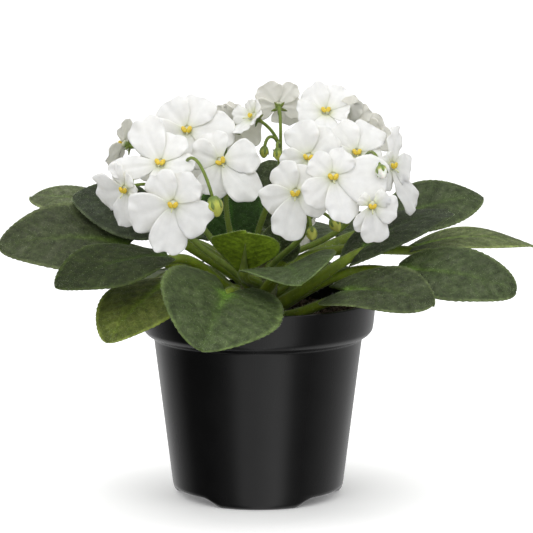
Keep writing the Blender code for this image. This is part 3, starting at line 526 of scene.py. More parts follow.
def tube_points(path, radii, sides, side, section=None):
    """Rings of points round a path: side is kept as near as it can be to the first ring's side."""
    path = np.asarray(path, float)
    runs = unit(np.gradient(path, axis=0))
    angles = TAU * np.arange(sides) / sides
    shape = np.ones(sides) if section is None else section(angles)
    rings, outs = [], []
    for place, run, radius in zip(path, runs, radii):
        side = across(side, run)
        up = np.cross(run, side)
        out = np.cos(angles)[:, None] * side + np.sin(angles)[:, None] * up
        rings.append(place + radius * shape[:, None] * out)
        outs.append(out)
    return np.array(rings), np.array(outs)


def ring_faces(rings, sides):
    """Quads between rings of points."""
    at = np.arange(rings * sides).reshape(rings, sides)
    after = np.roll(at, -1, axis=1)
    return np.stack((at[:-1], after[:-1], after[1:], at[1:]), -1).reshape(-1, 4)


def tube_faces(rings, sides):
    """Faces of a closed tube: quads round it and a fan of triangles at each end."""
    fan = np.stack((np.zeros(sides - 2, int), np.arange(2, sides), np.arange(1, sides - 1)), -1)
    return [ring_faces(rings, sides), fan, fan[:, ::-1] + (rings - 1) * sides]


def spokes(count, first, second, start=0.5):
    """Directions evenly round two axes, from a part of a step past the first axis."""
    return [swung(first, second, TAU * (index + start) / count) for index in range(count)]


def hairs(shape, roots, outs, down, rng, lean=0.5):
    """Fine closed spikes that stand on their roots along outs, each leaning its own way."""
    count, length, radius = down
    outs = unit(outs + lean * rng.normal(size=(count, 3)) * 0.5)
    side = unit(np.cross(outs, rng.normal(size=(count, 3))))
    up = np.cross(outs, side)
    lengths = length * rng.uniform(*HAIR_RANGE, count)
    angles = TAU * np.arange(3)[:, None] / 3
    spread = radius * (np.cos(angles) * side[:, None] + np.sin(angles) * up[:, None])
    feet = roots[:, None] + spread - HAIR_SINK * outs[:, None]
    tips = roots + lengths[:, None] * outs
    points = np.concatenate((feet, tips[:, None]), axis=1)
    base = 4 * np.arange(count)[:, None]
    faces = [base + np.array(corners) for corners in ((0, 1, 3), (1, 2, 3), (2, 0, 3), (0, 2, 1))]
    shape.add(points, faces, HAIR)


def grow(shape, grid, outs, rows, columns, down, rng, lean=0.5):
    """Hairs at random points of a grid, from the rows and columns between the given two."""
    row, column = rng.integers(*rows, down[0]), rng.integers(*columns, down[0])
    hairs(shape, grid[row, column], outs[row, column], down, rng, lean)


def crown_radius(height):
    """The crown's radius at a height."""
    share = (height - CROWN_NECK) / (CROWN_TOP - CROWN_NECK)
    return CROWN_NECK_RADIUS + share * (CROWN_TOP_RADIUS - CROWN_NECK_RADIUS)


def stem(root, lift, end, arrival, count):
    """Points of a stem from its root in the crown to its end, which it reaches along arrival."""
    angle, height = root
    outward = swung(X_AXIS, Y_AXIS, math.radians(angle))
    start = (crown_radius(height) - ROOT_SINK) * outward + height * UP
    span = np.linalg.norm(end - start)
    leaving = start + ROOT_HANDLE * span * unit(outward + lift * UP)
    return bezier((start, leaving, end - END_HANDLE * span * arrival, end), count)


def leaf_frame(item):
    """A leaf's joint, its axes along, across and off the blade, and its length."""
    joint, tip = np.array(item["joint"], float), np.array(item["tip"], float)
    along = unit(tip - joint)
    off = across(np.array(item["face"], float), along)
    return joint, along, np.cross(off, along), off, np.linalg.norm(tip - joint)


def leaf_local(item, t, s):
    """Places on a blade, in its own axes: t runs from the joint to the tip, s across."""
    length = leaf_frame(item)[4]
    swing = LOBE_ANGLE + (math.pi - LOBE_ANGLE) * t
    reach = np.where(swing < math.pi / 2, item["widest"] + item["lobe"], 1.0 - item["widest"])
    scallop = 1 + SCALLOP_DEPTH * np.abs(s) ** 6 * np.sin(TAU * SCALLOPS * t)
    margin_x = length * (item["widest"] - reach * np.cos(swing))
    narrowing = 1 - TIP_NARROWING * np.clip(-np.cos(swing), 0, 1) ** 2
    narrowing = narrowing * (1 - item["taper"] * (1 - smooth(margin_x / length, 0.0, TAPER_END)))
    margin_y = item["half_width"] * np.sin(swing) * narrowing
    middle_x = length * t ** MIDRIB_SWEEP
    x = middle_x + (margin_x - middle_x) * np.abs(s) * scallop
    y = margin_y * s * scallop
    share = x / length
    wave = np.sin(t * WAVE_TURNS + s * WAVE_SKEW + item["joint"][0])
    height = (item["arch"] * length * 4 * share * (1 - share)
              + item["fold"] * np.sqrt(y * y + FOLD_ROUNDING ** 2)
              + WAVE_HEIGHT * np.abs(s) ** 3 * wave)
    return x, y, height


def add_blade(shape, item):
    """A leaf's blade, with veins, raised fields, painted sheen, painted shade in its vein grooves and a
    painted highlight on its margin: its upper and lower points.
    """
    joint, along, side, off, length = leaf_frame(item)
    t = np.linspace(0.0, TIP_REACH, BLADE_ROWS + 1)[:, None]
    s = np.linspace(-1.0, 1.0, BLADE_CELLS + 1)[None, :]
    x, y, height = leaf_local(item, t, s)
    share, spread = x / length, y / item["half_width"]
    lane = VEIN_COUNT * share - VEIN_SWEEP * np.abs(spread) ** 1.2
    to_vein = np.abs(lane - np.round(lane))
    inner = 1 - np.abs(s) ** 6
    midrib = bell(spread, MIDRIB_WIDTH) * np.clip(1.1 - share, 0, 1)
    vein = bell(to_vein, VEIN_WIDTH) * inner * (1 - 0.5 * np.abs(spread))
    quilt = np.sin(math.pi * to_vein) * inner * (1 - bell(spread, 0.12))
    half = 0.5 * (BLADE_MIDDLE + (BLADE_MARGIN - BLADE_MIDDLE) * np.abs(s) ** 2)
    bumps = MOTTLE_HEIGHT * np.sin(0.31 * x + 1.7 * np.sin(0.23 * y) + item["joint"][1])
    upper = height + half + QUILT_HEIGHT * quilt - GROOVE_DEPTH * midrib + bumps * inner
    lower = height - half + 0.35 * QUILT_HEIGHT * quilt - RIB_HEIGHT * (midrib + 0.25 * vein)

    # The grey of the down everywhere, plus a painted sheen in patches on the raised fields between the
    # veins.
    sheen_patch = np.sin(0.37 * x + 2.0 * np.sin(0.29 * y + item["joint"][0]) + item["joint"][1])
    down_and_sheen = 0.3 + 0.28 * np.clip(quilt, 0, 1) * (0.5 + 0.5 * sheen_patch)
    top = LEAF_TOP
    # Painted shade darkens the side veins, as if in shadow in their grooves.
    for colour, strength in ((LEAF_DOWN_AND_SHEEN, down_and_sheen), (LEAF_VEIN_GROOVE_SHADE, 0.35 * vein), (LEAF_MIDRIB, 0.5 * midrib),
                             (LEAF_JOINT, 0.4 * bell(share, 0.45) * bell(spread, 0.07)),
                             (LEAF_JOINT, 0.9 * bell(share - 0.03, 0.09) * bell(spread, 0.14)),
                             # Painted highlight along the margin.
                             (LEAF_MARGIN_HIGHLIGHT, 0.8 * smooth(np.abs(s), 0.88, 1.0))):
        top = blend(top, colour, strength)
    under = blend(LEAF_UNDER, LEAF_UNDER_VEIN, 0.3 * vein + midrib)
    # Painted highlight: the underside's margin is lightened too.
    under = blend(under, LEAF_MARGIN_HIGHLIGHT, 0.5 * smooth(np.abs(s), 0.9, 1.0))
    flat = joint + x[..., None] * along + y[..., None] * side
    grids = [flat + level[..., None] * off for level in (upper, lower)]
    # Painted light and shade: the blade's colours are scaled per leaf, lighter or darker for how it is lit
    # as well as for its own green.
    tone_and_painted_light = np.array(item["tone_and_painted_light"])
    shape.add_sheet(*grids, top * tone_and_painted_light, under * tone_and_painted_light)
    return grids


def stalk_outline(angles):
    """The outline of a leaf stalk: a little flat, with a groove along its upper side."""
    return 1 + 0.12 * np.cos(angles) ** 2 - 0.2 * bell(np.cos((angles - math.pi / 2) / 2) - 1, 0.12)


def add_leaf_stalk(shape, item):
    """A leaf's stalk, which runs on as the rib under its blade: its points and their outs."""
    joint, along, side, off, _ = leaf_frame(item)
    arrival = unit(along + item["rise"] * UP)
    path = list(stem(item["root"], item["lift"], joint - STALK_DROP * off, arrival, STALK_POINTS))
    ribs = np.linspace(RIB_START, RIB_END, RIB_POINTS)
    rib_x, _, rib_height = leaf_local(item, ribs ** (1 / MIDRIB_SWEEP), np.zeros(RIB_POINTS))
    rib_radii = 0.3 + 1.5 * (1 - np.linspace(0.0, 1.0, RIB_POINTS)) ** 1.6
    for place_x, place_height, radius in zip(rib_x, rib_height, rib_radii):
        path.append(joint + place_x * along + (place_height - 0.25 - 0.8 * radius) * off)
    radii = np.concatenate((np.linspace(*STALK_RADII, STALK_POINTS), rib_radii))
    tints = blend(LEAF_STALK_WITH_PAINTED_LIGHT, LEAF_UNDER_VEIN, smooth(np.arange(len(path)), 18, 30))
    return shape.add_tube(path, radii, STALK_SIDES, side, tints, 1, stalk_outline)


def make_leaf(item, materials, rng):
    """One leaf: its blade, its stalk, and hairs along the margin, on the blade and on the stalk."""
    joint, along, _, off, length = leaf_frame(item)
    shape = Gather()
    upper, lower = add_blade(shape, item)
    rings, outs = add_leaf_stalk(shape, item)
    count = MARGIN_HAIRS[0]
    row = (rng.uniform(0, 1, count) * BLADE_ROWS).astype(int)
    end = rng.integers(0, 2, count) * BLADE_CELLS
    between = rng.uniform(0, 1, (count, 1))
    middle = 0.5 * (upper + lower)
    roots = middle[row, end] * (1 - between) + middle[row + 1, end] * between
    outward = unit(roots - (joint + 0.45 * length * along)) + 0.25 * off
    hairs(shape, roots, outward, MARGIN_HAIRS, rng)
    offs = np.broadcast_to(off, upper.shape)
    grow(shape, upper, offs, (2, BLADE_ROWS), (1, BLADE_CELLS), BLADE_HAIRS, rng, 0.9)
    grow(shape, rings, outs, (2, STALK_POINTS), (0, STALK_SIDES), STALK_HAIRS, rng)
    shape.make("violet_leaf_" + item["name"], materials, "leaf_" + item["name"])


def bloom_frame(item):
    """A flower's centre and its right, up and facing axes."""
    facing = unit(item["face"])
    up = across(UP, facing)
    right = np.cross(up, facing)
    turn = math.radians(item["turn"])
    return np.array(item["centre"], float), swung(right, -up, turn), swung(up, right, turn), facing


def add_petal(shape, item, petal, rng):
    """One petal: broad and round, with a ruffled margin, a crease and fine lengthwise veins."""
    centre, right, up, facing = bloom_frame(item)
    size = item["size"] * item["petals"][petal]
    length, half = PETAL_LENGTHS[petal] * size, PETAL_HALF_WIDTHS[petal] * size * item["widths"][petal]
    direction = math.radians(PETAL_ANGLES[petal] + item["swings"][petal])
    along, aside = swung(up, right, direction), swung(right, -up, direction)
    near = np.linspace(0.0, 1.0, PETAL_ROWS + 1)
    theta = np.linspace(0.0, math.radians(PETAL_TIP_ARC), PETAL_ROWS + 1)[1:]
    past = np.sin(theta) ** (2 / TIP_SQUARENESS)
    u = np.concatenate((near * PETAL_WIDEST, PETAL_WIDEST + (1 - PETAL_WIDEST) * past))[:, None]
    base = THROAT_RADIUS * math.sin(math.radians(PETAL_BASE_ARC / 2))
    swell = base + (half - base) * np.sin(near * math.pi / 2) ** 0.85
    width = np.concatenate((swell, half * np.cos(theta) ** (2 / TIP_SQUARENESS)))[:, None]
    s = np.linspace(-1.0, 1.0, PETAL_CELLS + 1)[None, :]
    phases, curl = rng.uniform(0, TAU, 4), rng.uniform(*PETAL_CURL)
    outer = np.sqrt((width * s / half) ** 2 + np.maximum((u - 0.5) * 2, 0) ** 2)
    round_it = np.arctan2(u - 0.55, 0.5 * s * width / half)
    wobble = 0.035 * np.sin(3 * round_it + phases[0]) + 0.02 * np.sin(7 * round_it + phases[1])
    reach = (length - THROAT_RADIUS) * (u + wobble * smooth(outer, 0.4, 1.0) * u)
    sideways = width * s * (1 + wobble * smooth(outer, 0.4, 1.0))
    ruffle = np.sin(5 * round_it + phases[2]) + 0.5 * np.sin(9 * round_it + phases[3])
    height = ((PETAL_TILTS[petal] + item["cup"]) * reach + PETAL_TWIST * sideways
              + RUFFLE_HEIGHT * size * ruffle * np.clip(outer, 0, 1.2) ** 3
              - CREASE_DEPTH * bell(s, 0.16) * np.sin(math.pi * np.clip(u * 1.1, 0, 1))
              + FLUTE_HEIGHT * np.cos(26 * s) * np.sin(math.pi * u) * smooth(u, 0.05, 0.4)
              - curl * length * u ** 3 + PETAL_CAMBER * (1 - s * s) * smooth(u, 0.0, 0.5))
    swing = direction + math.radians(PETAL_BASE_ARC / 2) * s
    arc = THROAT_RADIUS * (np.cos(swing)[..., None] * up + np.sin(swing)[..., None] * right)
    flat = (THROAT_RADIUS + reach)[..., None] * along + sideways[..., None] * aside
    flat = flat + height[..., None] * facing
    to_arc = (np.clip(1 - u / 0.22, 0, 1) ** 2)[..., None]
    upper = centre + to_arc * arc + (1 - to_arc) * flat
    front = blend(PETAL, PETAL_HEART, 0.85 * np.exp(-reach / 1.5))
    lines = 1 - 0.035 * (0.5 + 0.5 * np.cos(30 * s)) * np.exp(-u * 2.2)
    shape.add_sheet(upper, upper - PETAL_THICKNESS * facing, front * lines[..., None], PETAL_BACK_LIT_THROUGH)


def add_ball(shape, place, axes, tint, slot=0, rows=9, sides=14, groove=0.0):
    """A closed rounded body: axes are its three half-axes, and groove cuts a slit along it."""
    theta = np.linspace(0.12, math.pi - 0.12, rows)[:, None]
    phi = TAU * np.arange(sides)[None, :] / sides
    ring = np.sin(theta) * (1 - groove * bell(np.cos(phi / 2 - math.pi / 4) - 1, 0.08))
    points = place + np.cos(theta)[..., None] * axes[0]
    points = points + (ring * np.cos(phi))[..., None] * axes[1] + (ring * np.sin(phi))[..., None] * axes[2]
    shape.add(points, tube_faces(rows, sides), tint, slot)


def make_bloom(item, materials, rng):
    """One flower: five petals, the green-tinged throat, a pair of anthers and the style."""
    centre, right, up, facing = bloom_frame(item)
    shape = Gather()
    for petal in range(len(PETAL_ANGLES)):
        add_petal(shape, item, petal, rng)
    depths, radii = np.array(THROAT_RINGS).T
    tints = blend(blend(PETAL_HEART, PETAL, 0.6), SEPAL, smooth(depths, 0.5, 1.8))
    shape.add_tube(centre - depths[:, None] * facing, radii, THROAT_SIDES, right, tints)
    spread = ANTHER_SPREAD * math.sqrt(item["size"])
    for way in (-1, 1):
        place = centre + way * spread * right + ANTHER_RISE * facing + rng.uniform(-0.2, 0.2, 3)
        axes = (1.35 * spread * unit(up + 0.3 * way * right), spread * right, 0.95 * spread * facing)
        add_ball(shape, place, axes, POLLEN, 1, groove=0.35)
    foot = centre - 0.5 * facing - 0.8 * up
    bend = foot + 2.4 * facing - 0.6 * up
    end = bend + 1.6 * facing - 1.2 * up + rng.uniform(-0.6, 0.6) * right
    path = bezier((foot, foot + facing, bend, end), STYLE_POINTS)
    shape.add_tube(path, np.linspace(*STYLE_RADII, STYLE_POINTS), 7, right, STYLE)
    add_ball(shape, end, (0.35 * facing, 0.35 * right, 0.35 * up), STYLE, rows=6, sides=8)
    shape.make("violet_bloom_" + item["name"], materials, "bloom_" + item["name"])


def add_sepal(shape, foot, outward, facing, length, width, tint, bow):
    """One narrow pointed sepal or bract that bends away from its foot."""
    u = np.linspace(0, 1, 9)[:, None]
    s = np.linspace(-1, 1, 5)[None, :]
    side = np.cross(outward, facing)
    half = 0.5 * width * np.sin(math.pi * np.clip(0.22 + 0.75 * u, 0, 1)) ** 0.8
    rise = bow * length * u ** 2 + 0.25 * (s * s - 1) * half
    upper = foot + (length * u)[..., None] * outward
    upper = upper + (half * s)[..., None] * side + rise[..., None] * facing
    shape.add_sheet(upper, upper - SEPAL_THICKNESS * facing, tint, tint)


def add_stem(shape, path, radii, sides, down, rng):
    """A downy round stem."""
    rings, outs = shape.add_tube(path, radii, sides, STEM_SIDE, STEM)
    grow(shape, rings, outs, (1, len(path) - 1), (0, sides), down, rng)


def add_bud(shape, item, rng):
    """One closed bud: a ribbed body held by five sepals."""
    facing = unit(item["face"])
    place, size = np.array(item["place"], float), item["size"]
    share = np.linspace(0.0, 1.0, BUD_RINGS)
    radii = BUD_RADIUS * size * np.sin(math.pi * (0.12 + 0.84 * share)) ** 0.75
    path = place + (BUD_LENGTH * size * share)[:, None] * facing
    side = across(np.array((0.3, 0.2, 0.9)), facing)
    tints = blend(SEPAL, BUD, smooth(share, 0.1, 0.5))
    tints = blend(tints, PETAL, item["white"] * smooth(share, 0.35, 0.6))
    rings, outs = shape.add_tube(path, radii, BUD_SIDES, side, tints,
                                 section=lambda angles: 1 + 0.07 * np.cos(SEPAL_COUNT * angles))
    grow(shape, rings, outs, (1, BUD_RINGS - 1), (0, BUD_SIDES), BUD_HAIRS, rng)
    for outward in spokes(SEPAL_COUNT, side, np.cross(facing, side)):
        foot = place + 0.3 * facing + 0.9 * size * outward
        add_sepal(shape, foot, unit(facing + 0.6 * outward), -outward, 4.8 * size, 2.1 * size, SEPAL, 0.22)


def side_stalk(fork, end, facing, bow, count):
    """Points of a side stalk that rises from a fork and arrives at its end along facing."""
    handle = bow * END_HANDLE * np.linalg.norm(end - fork)
    return bezier((fork - FORK_SINK * UP, fork + handle * UP, end - handle * facing, end), count)


def make_flower_stalk(item, blooms, materials, rng):
    """One flower stalk with its side stalks, bracts, sepals and buds."""
    shape = Gather()
    fork = np.array(item["fork"], float)
    path = stem(item["root"], item["lift"], fork, UP, PEDUNCLE_POINTS)
    radii = np.linspace(*PEDUNCLE_RADII, PEDUNCLE_POINTS)
    add_stem(shape, path, radii, PEDUNCLE_SIDES, PEDUNCLE_HAIRS, rng)
    add_ball(shape, fork, (1.35 * UP, 1.3 * X_AXIS, 1.3 * Y_AXIS), STEM)
    for way in (-1, 1):
        outward = unit(np.array((way * 0.8, way * 0.3, 0.5)))
        add_sepal(shape, fork - 0.8 * UP, outward, across(UP, outward), 5.0, 1.8, SEPAL, 0.25)
    for carried in item["blooms"]:
        centre, right, up, facing = bloom_frame(blooms[carried])
        size = math.sqrt(blooms[carried]["size"])
        end = centre - (THROAT_DEPTH + 0.4) * facing
        path = side_stalk(fork, end, facing, 1.0, PEDICEL_POINTS)
        radii = PEDICEL_RADIUS * (1 + 0.9 * smooth(np.linspace(0, 1, PEDICEL_POINTS), 0.9, 1.0))
        add_stem(shape, path, radii, PEDICEL_SIDES, PEDICEL_HAIRS, rng)
        for outward in spokes(SEPAL_COUNT, up, right):
            foot = end + 0.4 * outward + 0.1 * facing
            add_sepal(shape, foot, unit(outward + 0.1 * facing), facing, SEPAL_LENGTH * size, SEPAL_WIDTH,
                      SEPAL, -0.12)
    for closed in item["buds"]:
        facing = unit(closed["face"])
        end = np.array(closed["place"], float) + 0.8 * facing
        path = side_stalk(fork, end, facing, closed["bow"], BUD_STALK_POINTS)
        radii = np.full(BUD_STALK_POINTS, PEDICEL_RADIUS)
        add_stem(shape, path, radii, PEDICEL_SIDES, BUD_STALK_HAIRS, rng)
        add_bud(shape, closed, rng)
    name = "flower_stalk_" + item["name"]
    shape.make("violet_" + name, materials, name)


def foot_arch(angle):
    """Height of the pot's lower edge at an angle in degrees: feet at the front and at 120 degrees."""
    spacing = 360 / FOOT_COUNT
    off = np.abs((angle + 90 + spacing / 2) % spacing - spacing / 2)
    return ARCH_HEIGHT * smooth(off, FOOT_HALF_ANGLE, ARCH_START_ANGLE)


def rounded(profile, rounding, steps=5):
    """A profile with each inner corner replaced by a short curve that starts a rounding away."""
    points = [np.array(point, float) for point in profile]
    out = [points[0]]
    for before, corner, after in zip(points, points[1:], points[2:]):
        reach = min(rounding, 0.45 * np.linalg.norm(corner - before), 0.45 * np.linalg.norm(after - corner))
        start, end = corner + reach * unit(before - corner), corner + reach * unit(after - corner)
        for share in np.linspace(0, 1, steps):
            out.append(start * (1 - share) ** 2 + 2 * corner * share * (1 - share) + end * share ** 2)
    return np.array(out + [points[-1]])


def subdivided(profile, longest):
    """A profile with its long runs cut, so that no run is longer than longest."""
    out = [profile[0]]
    for before, after in zip(profile, profile[1:]):
        cuts = max(1, math.ceil(np.linalg.norm(after - before) / longest))
        out += [before + (after - before) * (step + 1) / cuts for step in range(cuts)]
    return np.array(out)


def turned(profile, segments):
    """Points and faces of a solid turned round the pot's axis: the profile starts and ends on it."""
    angles = TAU * np.arange(segments) / segments
    body = profile[1:-1]
    rings = np.stack((body[:, :1] * np.cos(angles), body[:, :1] * np.sin(angles),
                      body[:, 1:] + 0 * angles), -1)
    points = np.concatenate((rings.reshape(-1, 3), ((0, 0, profile[0][1]), (0, 0, profile[-1][1]))))
    first = np.arange(segments)
    last = first + (len(body) - 1) * segments
    low, high = len(points) - 2, len(points) - 1
    bottom = np.stack((np.roll(first, -1), first, np.full(segments, low)), -1)
    top = np.stack((last, np.roll(last, -1), np.full(segments, high)), -1)
    return points, [ring_faces(len(body), segments), bottom, top]


def make_pot(finish):
    """The pot: a smooth turned wall with arches raised between its feet and drain holes."""
    floor = BASE_HEIGHT + WALL
    profile = [
        (0.0, BASE_HEIGHT), (GROUND_RADIUS - FOOT_WIDTH - 0.8, BASE_HEIGHT),
        (GROUND_RADIUS - FOOT_WIDTH, 0.0), (GROUND_RADIUS, 0.0), (37.4, 1.8),
        (BODY_FOOT_RADIUS, BODY_FOOT_HEIGHT), (BODY_TOP_RADIUS, STEP_HEIGHT), (49.4, 72.8),
        (50.9, 74.6), (RIM_FOOT_RADIUS, RIM_FOOT_HEIGHT), (RIM_RADIUS, RIM_TOP),
        (RIM_RADIUS - WALL, RIM_TOP), (RIM_FOOT_RADIUS - WALL, RIM_FOOT_HEIGHT), (49.2, 75.4),
        (BODY_TOP_RADIUS - WALL, 73.2), (BODY_FOOT_RADIUS - WALL, floor + 1.5),
        (BODY_FOOT_RADIUS - WALL - 1.5, floor), (0.0, floor)]
    points, faces = turned(subdivided(rounded(profile, EDGE_ROUNDING), LONGEST_RUN), POT_SEGMENTS)
    angles = np.degrees(np.arctan2(points[:, 1], points[:, 0]))
    low = points[:, 2] < BASE_HEIGHT - 0.01
    raised = points[:, 2] + foot_arch(angles) * (1 - points[:, 2] / BASE_HEIGHT)
    points[:, 2] = np.where(low, raised, points[:, 2])
    shape = Gather()
    shape.add(points, faces, PLASTIC)
    pot = shape.make("nursery_pot", [finish], "pot")
    holes = Gather()
    for way in (np.zeros(3), *spokes(DRAIN_COUNT, X_AXIS, Y_AXIS, 0.0)):
        ends = [DRAIN_CIRCLE * way + (BASE_HEIGHT + step * WALL) * UP for step in (-2, 3)]
        holes.add_tube(ends, (DRAIN_RADIUS, DRAIN_RADIUS), DRAIN_SIDES, X_AXIS, PLASTIC)
    cutter = added("drain_holes", holes.mesh("drain_holes"))
    cut = pot.modifiers.new("drain_holes", "BOOLEAN")
    cut.operation = "DIFFERENCE"
    cut.object = cutter
    depsgraph = bpy.context.evaluated_depsgraph_get()
    pot.data = bpy.data.meshes.new_from_object(pot.evaluated_get(depsgraph))
    pot.modifiers.clear()
    bpy.data.objects.remove(cutter)
    pot.data.set_sharp_from_angle(angle=math.radians(SHARP_ANGLE))


def unevenness(x, y):
    """The soil's rise and fall over its plain top, in millimetres."""
    rise = 0.8 * np.sin(0.21 * x + 1.3) * np.cos(0.17 * y) + 0.35 * np.sin(0.9 * x) * np.sin(0.8 * y + 1)
    return rise + 0.25 * np.sin(2.3 * x + 0.4) * np.cos(2.6 * y) + 0.3


def make_soil(materials, rng):
    """The soil: an uneven top on a plain body that fills the pot, with crumbs lying on it."""
    shape = Gather()
    floor, foot = BASE_HEIGHT + WALL + 0.1, BODY_FOOT_RADIUS - WALL
    profile = [(0.0, floor), (foot - 1.9, floor), (foot - 0.1, floor + 1.7),
               (BODY_TOP_RADIUS - WALL - 0.1, 73.5), (SOIL_RADIUS - 1.0, 75.8), (SOIL_RADIUS, 77.7)]
    profile += [(SOIL_RADIUS * (1 - step / SOIL_RINGS), SOIL_TOP) for step in range(SOIL_RINGS)]
    points, faces = turned(np.array(profile + [(0.0, SOIL_TOP)]), SOIL_SEGMENTS)
    rise = unevenness(points[:, 0], points[:, 1]) + rng.normal(0, SOIL_GRIT, len(points))
    points[:, 2] += np.where(points[:, 2] > SOIL_TOP - 0.1, rise, 0.0)
    shape.add(points, faces, blend(PEAT, PEAT_DRY, rng.uniform(0, 0.5, len(points))))
    ball = np.array([(math.sin(a) * math.cos(b), math.sin(a) * math.sin(b), math.cos(a))
                     for a in (0.5, 1.1, 1.7, 2.4) for b in TAU * np.arange(6) / 6 + a])
    ball_faces = tube_faces(4, 6)
    for _ in range(CRUMB_COUNT):
        angle, radius = rng.uniform(0, TAU), SOIL_RADIUS * math.sqrt(rng.uniform(0.03, 0.93))
        x, y = radius * math.cos(angle), radius * math.sin(angle)
        size = 0.45 + 1.1 * rng.random() ** 2.5
        lump = ball * rng.uniform(0.7, 1.15, (len(ball), 1)) * (size * rng.uniform(0.7, 1.3, 3))
        place = np.array((x, y, SOIL_TOP + unevenness(x, y) + 0.3 * size))
        shape.add(lump + place, ball_faces, blend(PEAT, PEAT_DRY, rng.random() ** 2))
    shape.make("potting_mix", materials, "potting_soil")


def make_crown(materials, rng):
    """The crown: a short scaly stem with a tuft of folded young leaves at its middle."""
    shape = Gather()
    profile = [(0.0, CROWN_FOOT)]
    for share in np.linspace(0, 1, CROWN_RINGS):
        radius = CROWN_NECK_RADIUS + (CROWN_TOP_RADIUS - CROWN_NECK_RADIUS) * share
        profile.append((radius + 0.35 * math.sin(9 * math.pi * share),
                        CROWN_FOOT + share * (CROWN_TOP - CROWN_FOOT)))
    profile += [(4.2, CROWN_TOP + 1.6), (0.0, CROWN_TOP + 2.2)]
    points, faces = turned(np.array(profile), CROWN_SEGMENTS)
    angles = np.arctan2(points[:, 1], points[:, 0])
    points[:, :2] *= (1 + 0.04 * np.sin(5 * angles + 0.35 * points[:, 2]))[:, None]
    shape.add(points, faces, CROWN)
    for index in range(YOUNG_LEAVES):
        outward = swung(X_AXIS, Y_AXIS, TAU * index / YOUNG_LEAVES + 0.4)
        foot = (3.6 - 0.25 * index) * outward + (CROWN_TOP + 0.5) * UP
        add_sepal(shape, foot, unit(outward * (0.75 - 0.08 * index) + UP), unit(UP - 0.6 * outward),
                  9.5 - 0.6 * index, 5.0 - 0.3 * index, blend(LEAF_MIDRIB, STEM, 0.4), 0.2)
    ring = rng.uniform(0, TAU, CROWN_HAIRS[0])
    height = rng.uniform(CROWN_NECK + 1, CROWN_TOP, CROWN_HAIRS[0])
    outs = np.column_stack((np.cos(ring), np.sin(ring), 0 * ring))
    roots = outs * crown_radius(height)[:, None] + height[:, None] * UP
    hairs(shape, roots, outs, CROWN_HAIRS, rng)
    shape.make("violet_crown", materials, "crown")


def node(tree, kind, inputs=None, **settings):
    """The outputs of a new node: an input that is given a socket is linked, and others are set."""
    made = tree.nodes.new("ShaderNode" + kind)
    for name, value in settings.items():
        setattr(made, name, value)
    for name, value in (inputs or {}).items():
        if isinstance(value, bpy.types.NodeSocket):
            tree.links.new(value, made.inputs[name])
        else:
            made.inputs[name].default_value = value
    return made.outputs


def base_material(name, **fixed):
    """A Principled material with its constant values on the shader's own sockets."""
    made = bpy.data.materials.new(name)
    made.use_nodes = True
    shader = made.node_tree.nodes["Principled BSDF"]
    for socket, value in fixed.items():
        shader.inputs[socket.replace("_", " ")].default_value = value
    return made, made.node_tree, shader


def noise(tree, scale, detail, stretch=(1.0, 1.0, 1.0)):
    """A noise value over the piece, in the scene's own coordinates."""
    place = node(tree, "TexCoord")["Object"]
    stretched = node(tree, "Mapping", {"Vector": place, "Scale": stretch})["Vector"]
    return node(tree, "TexNoise", {"Vector": stretched, "Scale": scale, "Detail": detail})["Fac"]


def ranged(tree, value, low, high, span):
    """A value mapped from its span to the range from low to high."""
    return node(tree, "MapRange", {"Value": value, "From Min": span[0], "From Max": span[1],
                                   "To Min": low, "To Max": high})["Result"]


def mottled(tree, scale, detail, low, high, *stretch):
    """A noise that mostly stays between low and high."""
    return ranged(tree, noise(tree, scale, detail, *stretch), low, high, NOISE_SPAN)


def finished(tree, shader, factors, gloss, relief, strength, height):
    """The piece's own colours times each factor, a gloss, and a relief of a height in metres."""
    colour = node(tree, "Attribute", attribute_name="tint")["Color"]
    for factor in factors:
        colour = node(tree, "VectorMath", {0: colour, "Scale": factor}, operation="SCALE")["Vector"]
    bump = node(tree, "Bump", {"Strength": strength, "Distance": height, "Height": relief})
    tree.links.new(colour, shader.inputs["Base Color"])
    tree.links.new(gloss, shader.inputs["Roughness"])
    tree.links.new(bump["Normal"], shader.inputs["Normal"])


def skin(name):
    """One of the plain skins: its colours and gloss vary with noise, and so does its relief."""
    tints, gloss, grain, strength, height, fixed = SKINS[name]
    made, tree, shader = base_material(name, **fixed)
    factors = [mottled(tree, *row) for row in tints]
    finished(tree, shader, factors, mottled(tree, *gloss), noise(tree, *grain), strength, height)
    return made


def leaf_skin():
    """Velvety leaf skin: a fine net of veins and mottled greens with a soft sheen from its down."""
    made, tree, shader = base_material("violet_leaf_skin", Sheen_Weight=0.05, Sheen_Roughness=0.35,
                                       Sheen_Tint=(0.9, 1.0, 0.82, 1.0), Specular_IOR_Level=0.22,
                                       Subsurface_Weight=0.08, Subsurface_Scale=0.0012,
                                       Subsurface_Radius=(0.5, 1.0, 0.2))
    net = node(tree, "TexVoronoi", {"Vector": node(tree, "TexCoord")["Object"], "Scale": 330.0},
               feature="DISTANCE_TO_EDGE")["Distance"]
    factors = [mottled(tree, 310.0, 5.0, 0.70, 1.36), mottled(tree, 75.0, 2.0, 0.84, 1.16),
               mottled(tree, 1200.0, 2.0, 0.80, 1.20), ranged(tree, net, 1.14, 0.94, (0.0, 0.16))]
    cells = ranged(tree, net, 0.0, 1.0, (0.0, 0.30))
    relief = node(tree, "Math", {0: noise(tree, 1900.0, 3.0), 1: 0.6, 2: cells},
                  operation="MULTIPLY_ADD")["Value"]
    finished(tree, shader, factors, mottled(tree, 260.0, 3.0, 0.44, 0.60), relief, 0.45, 0.00035)
    return made


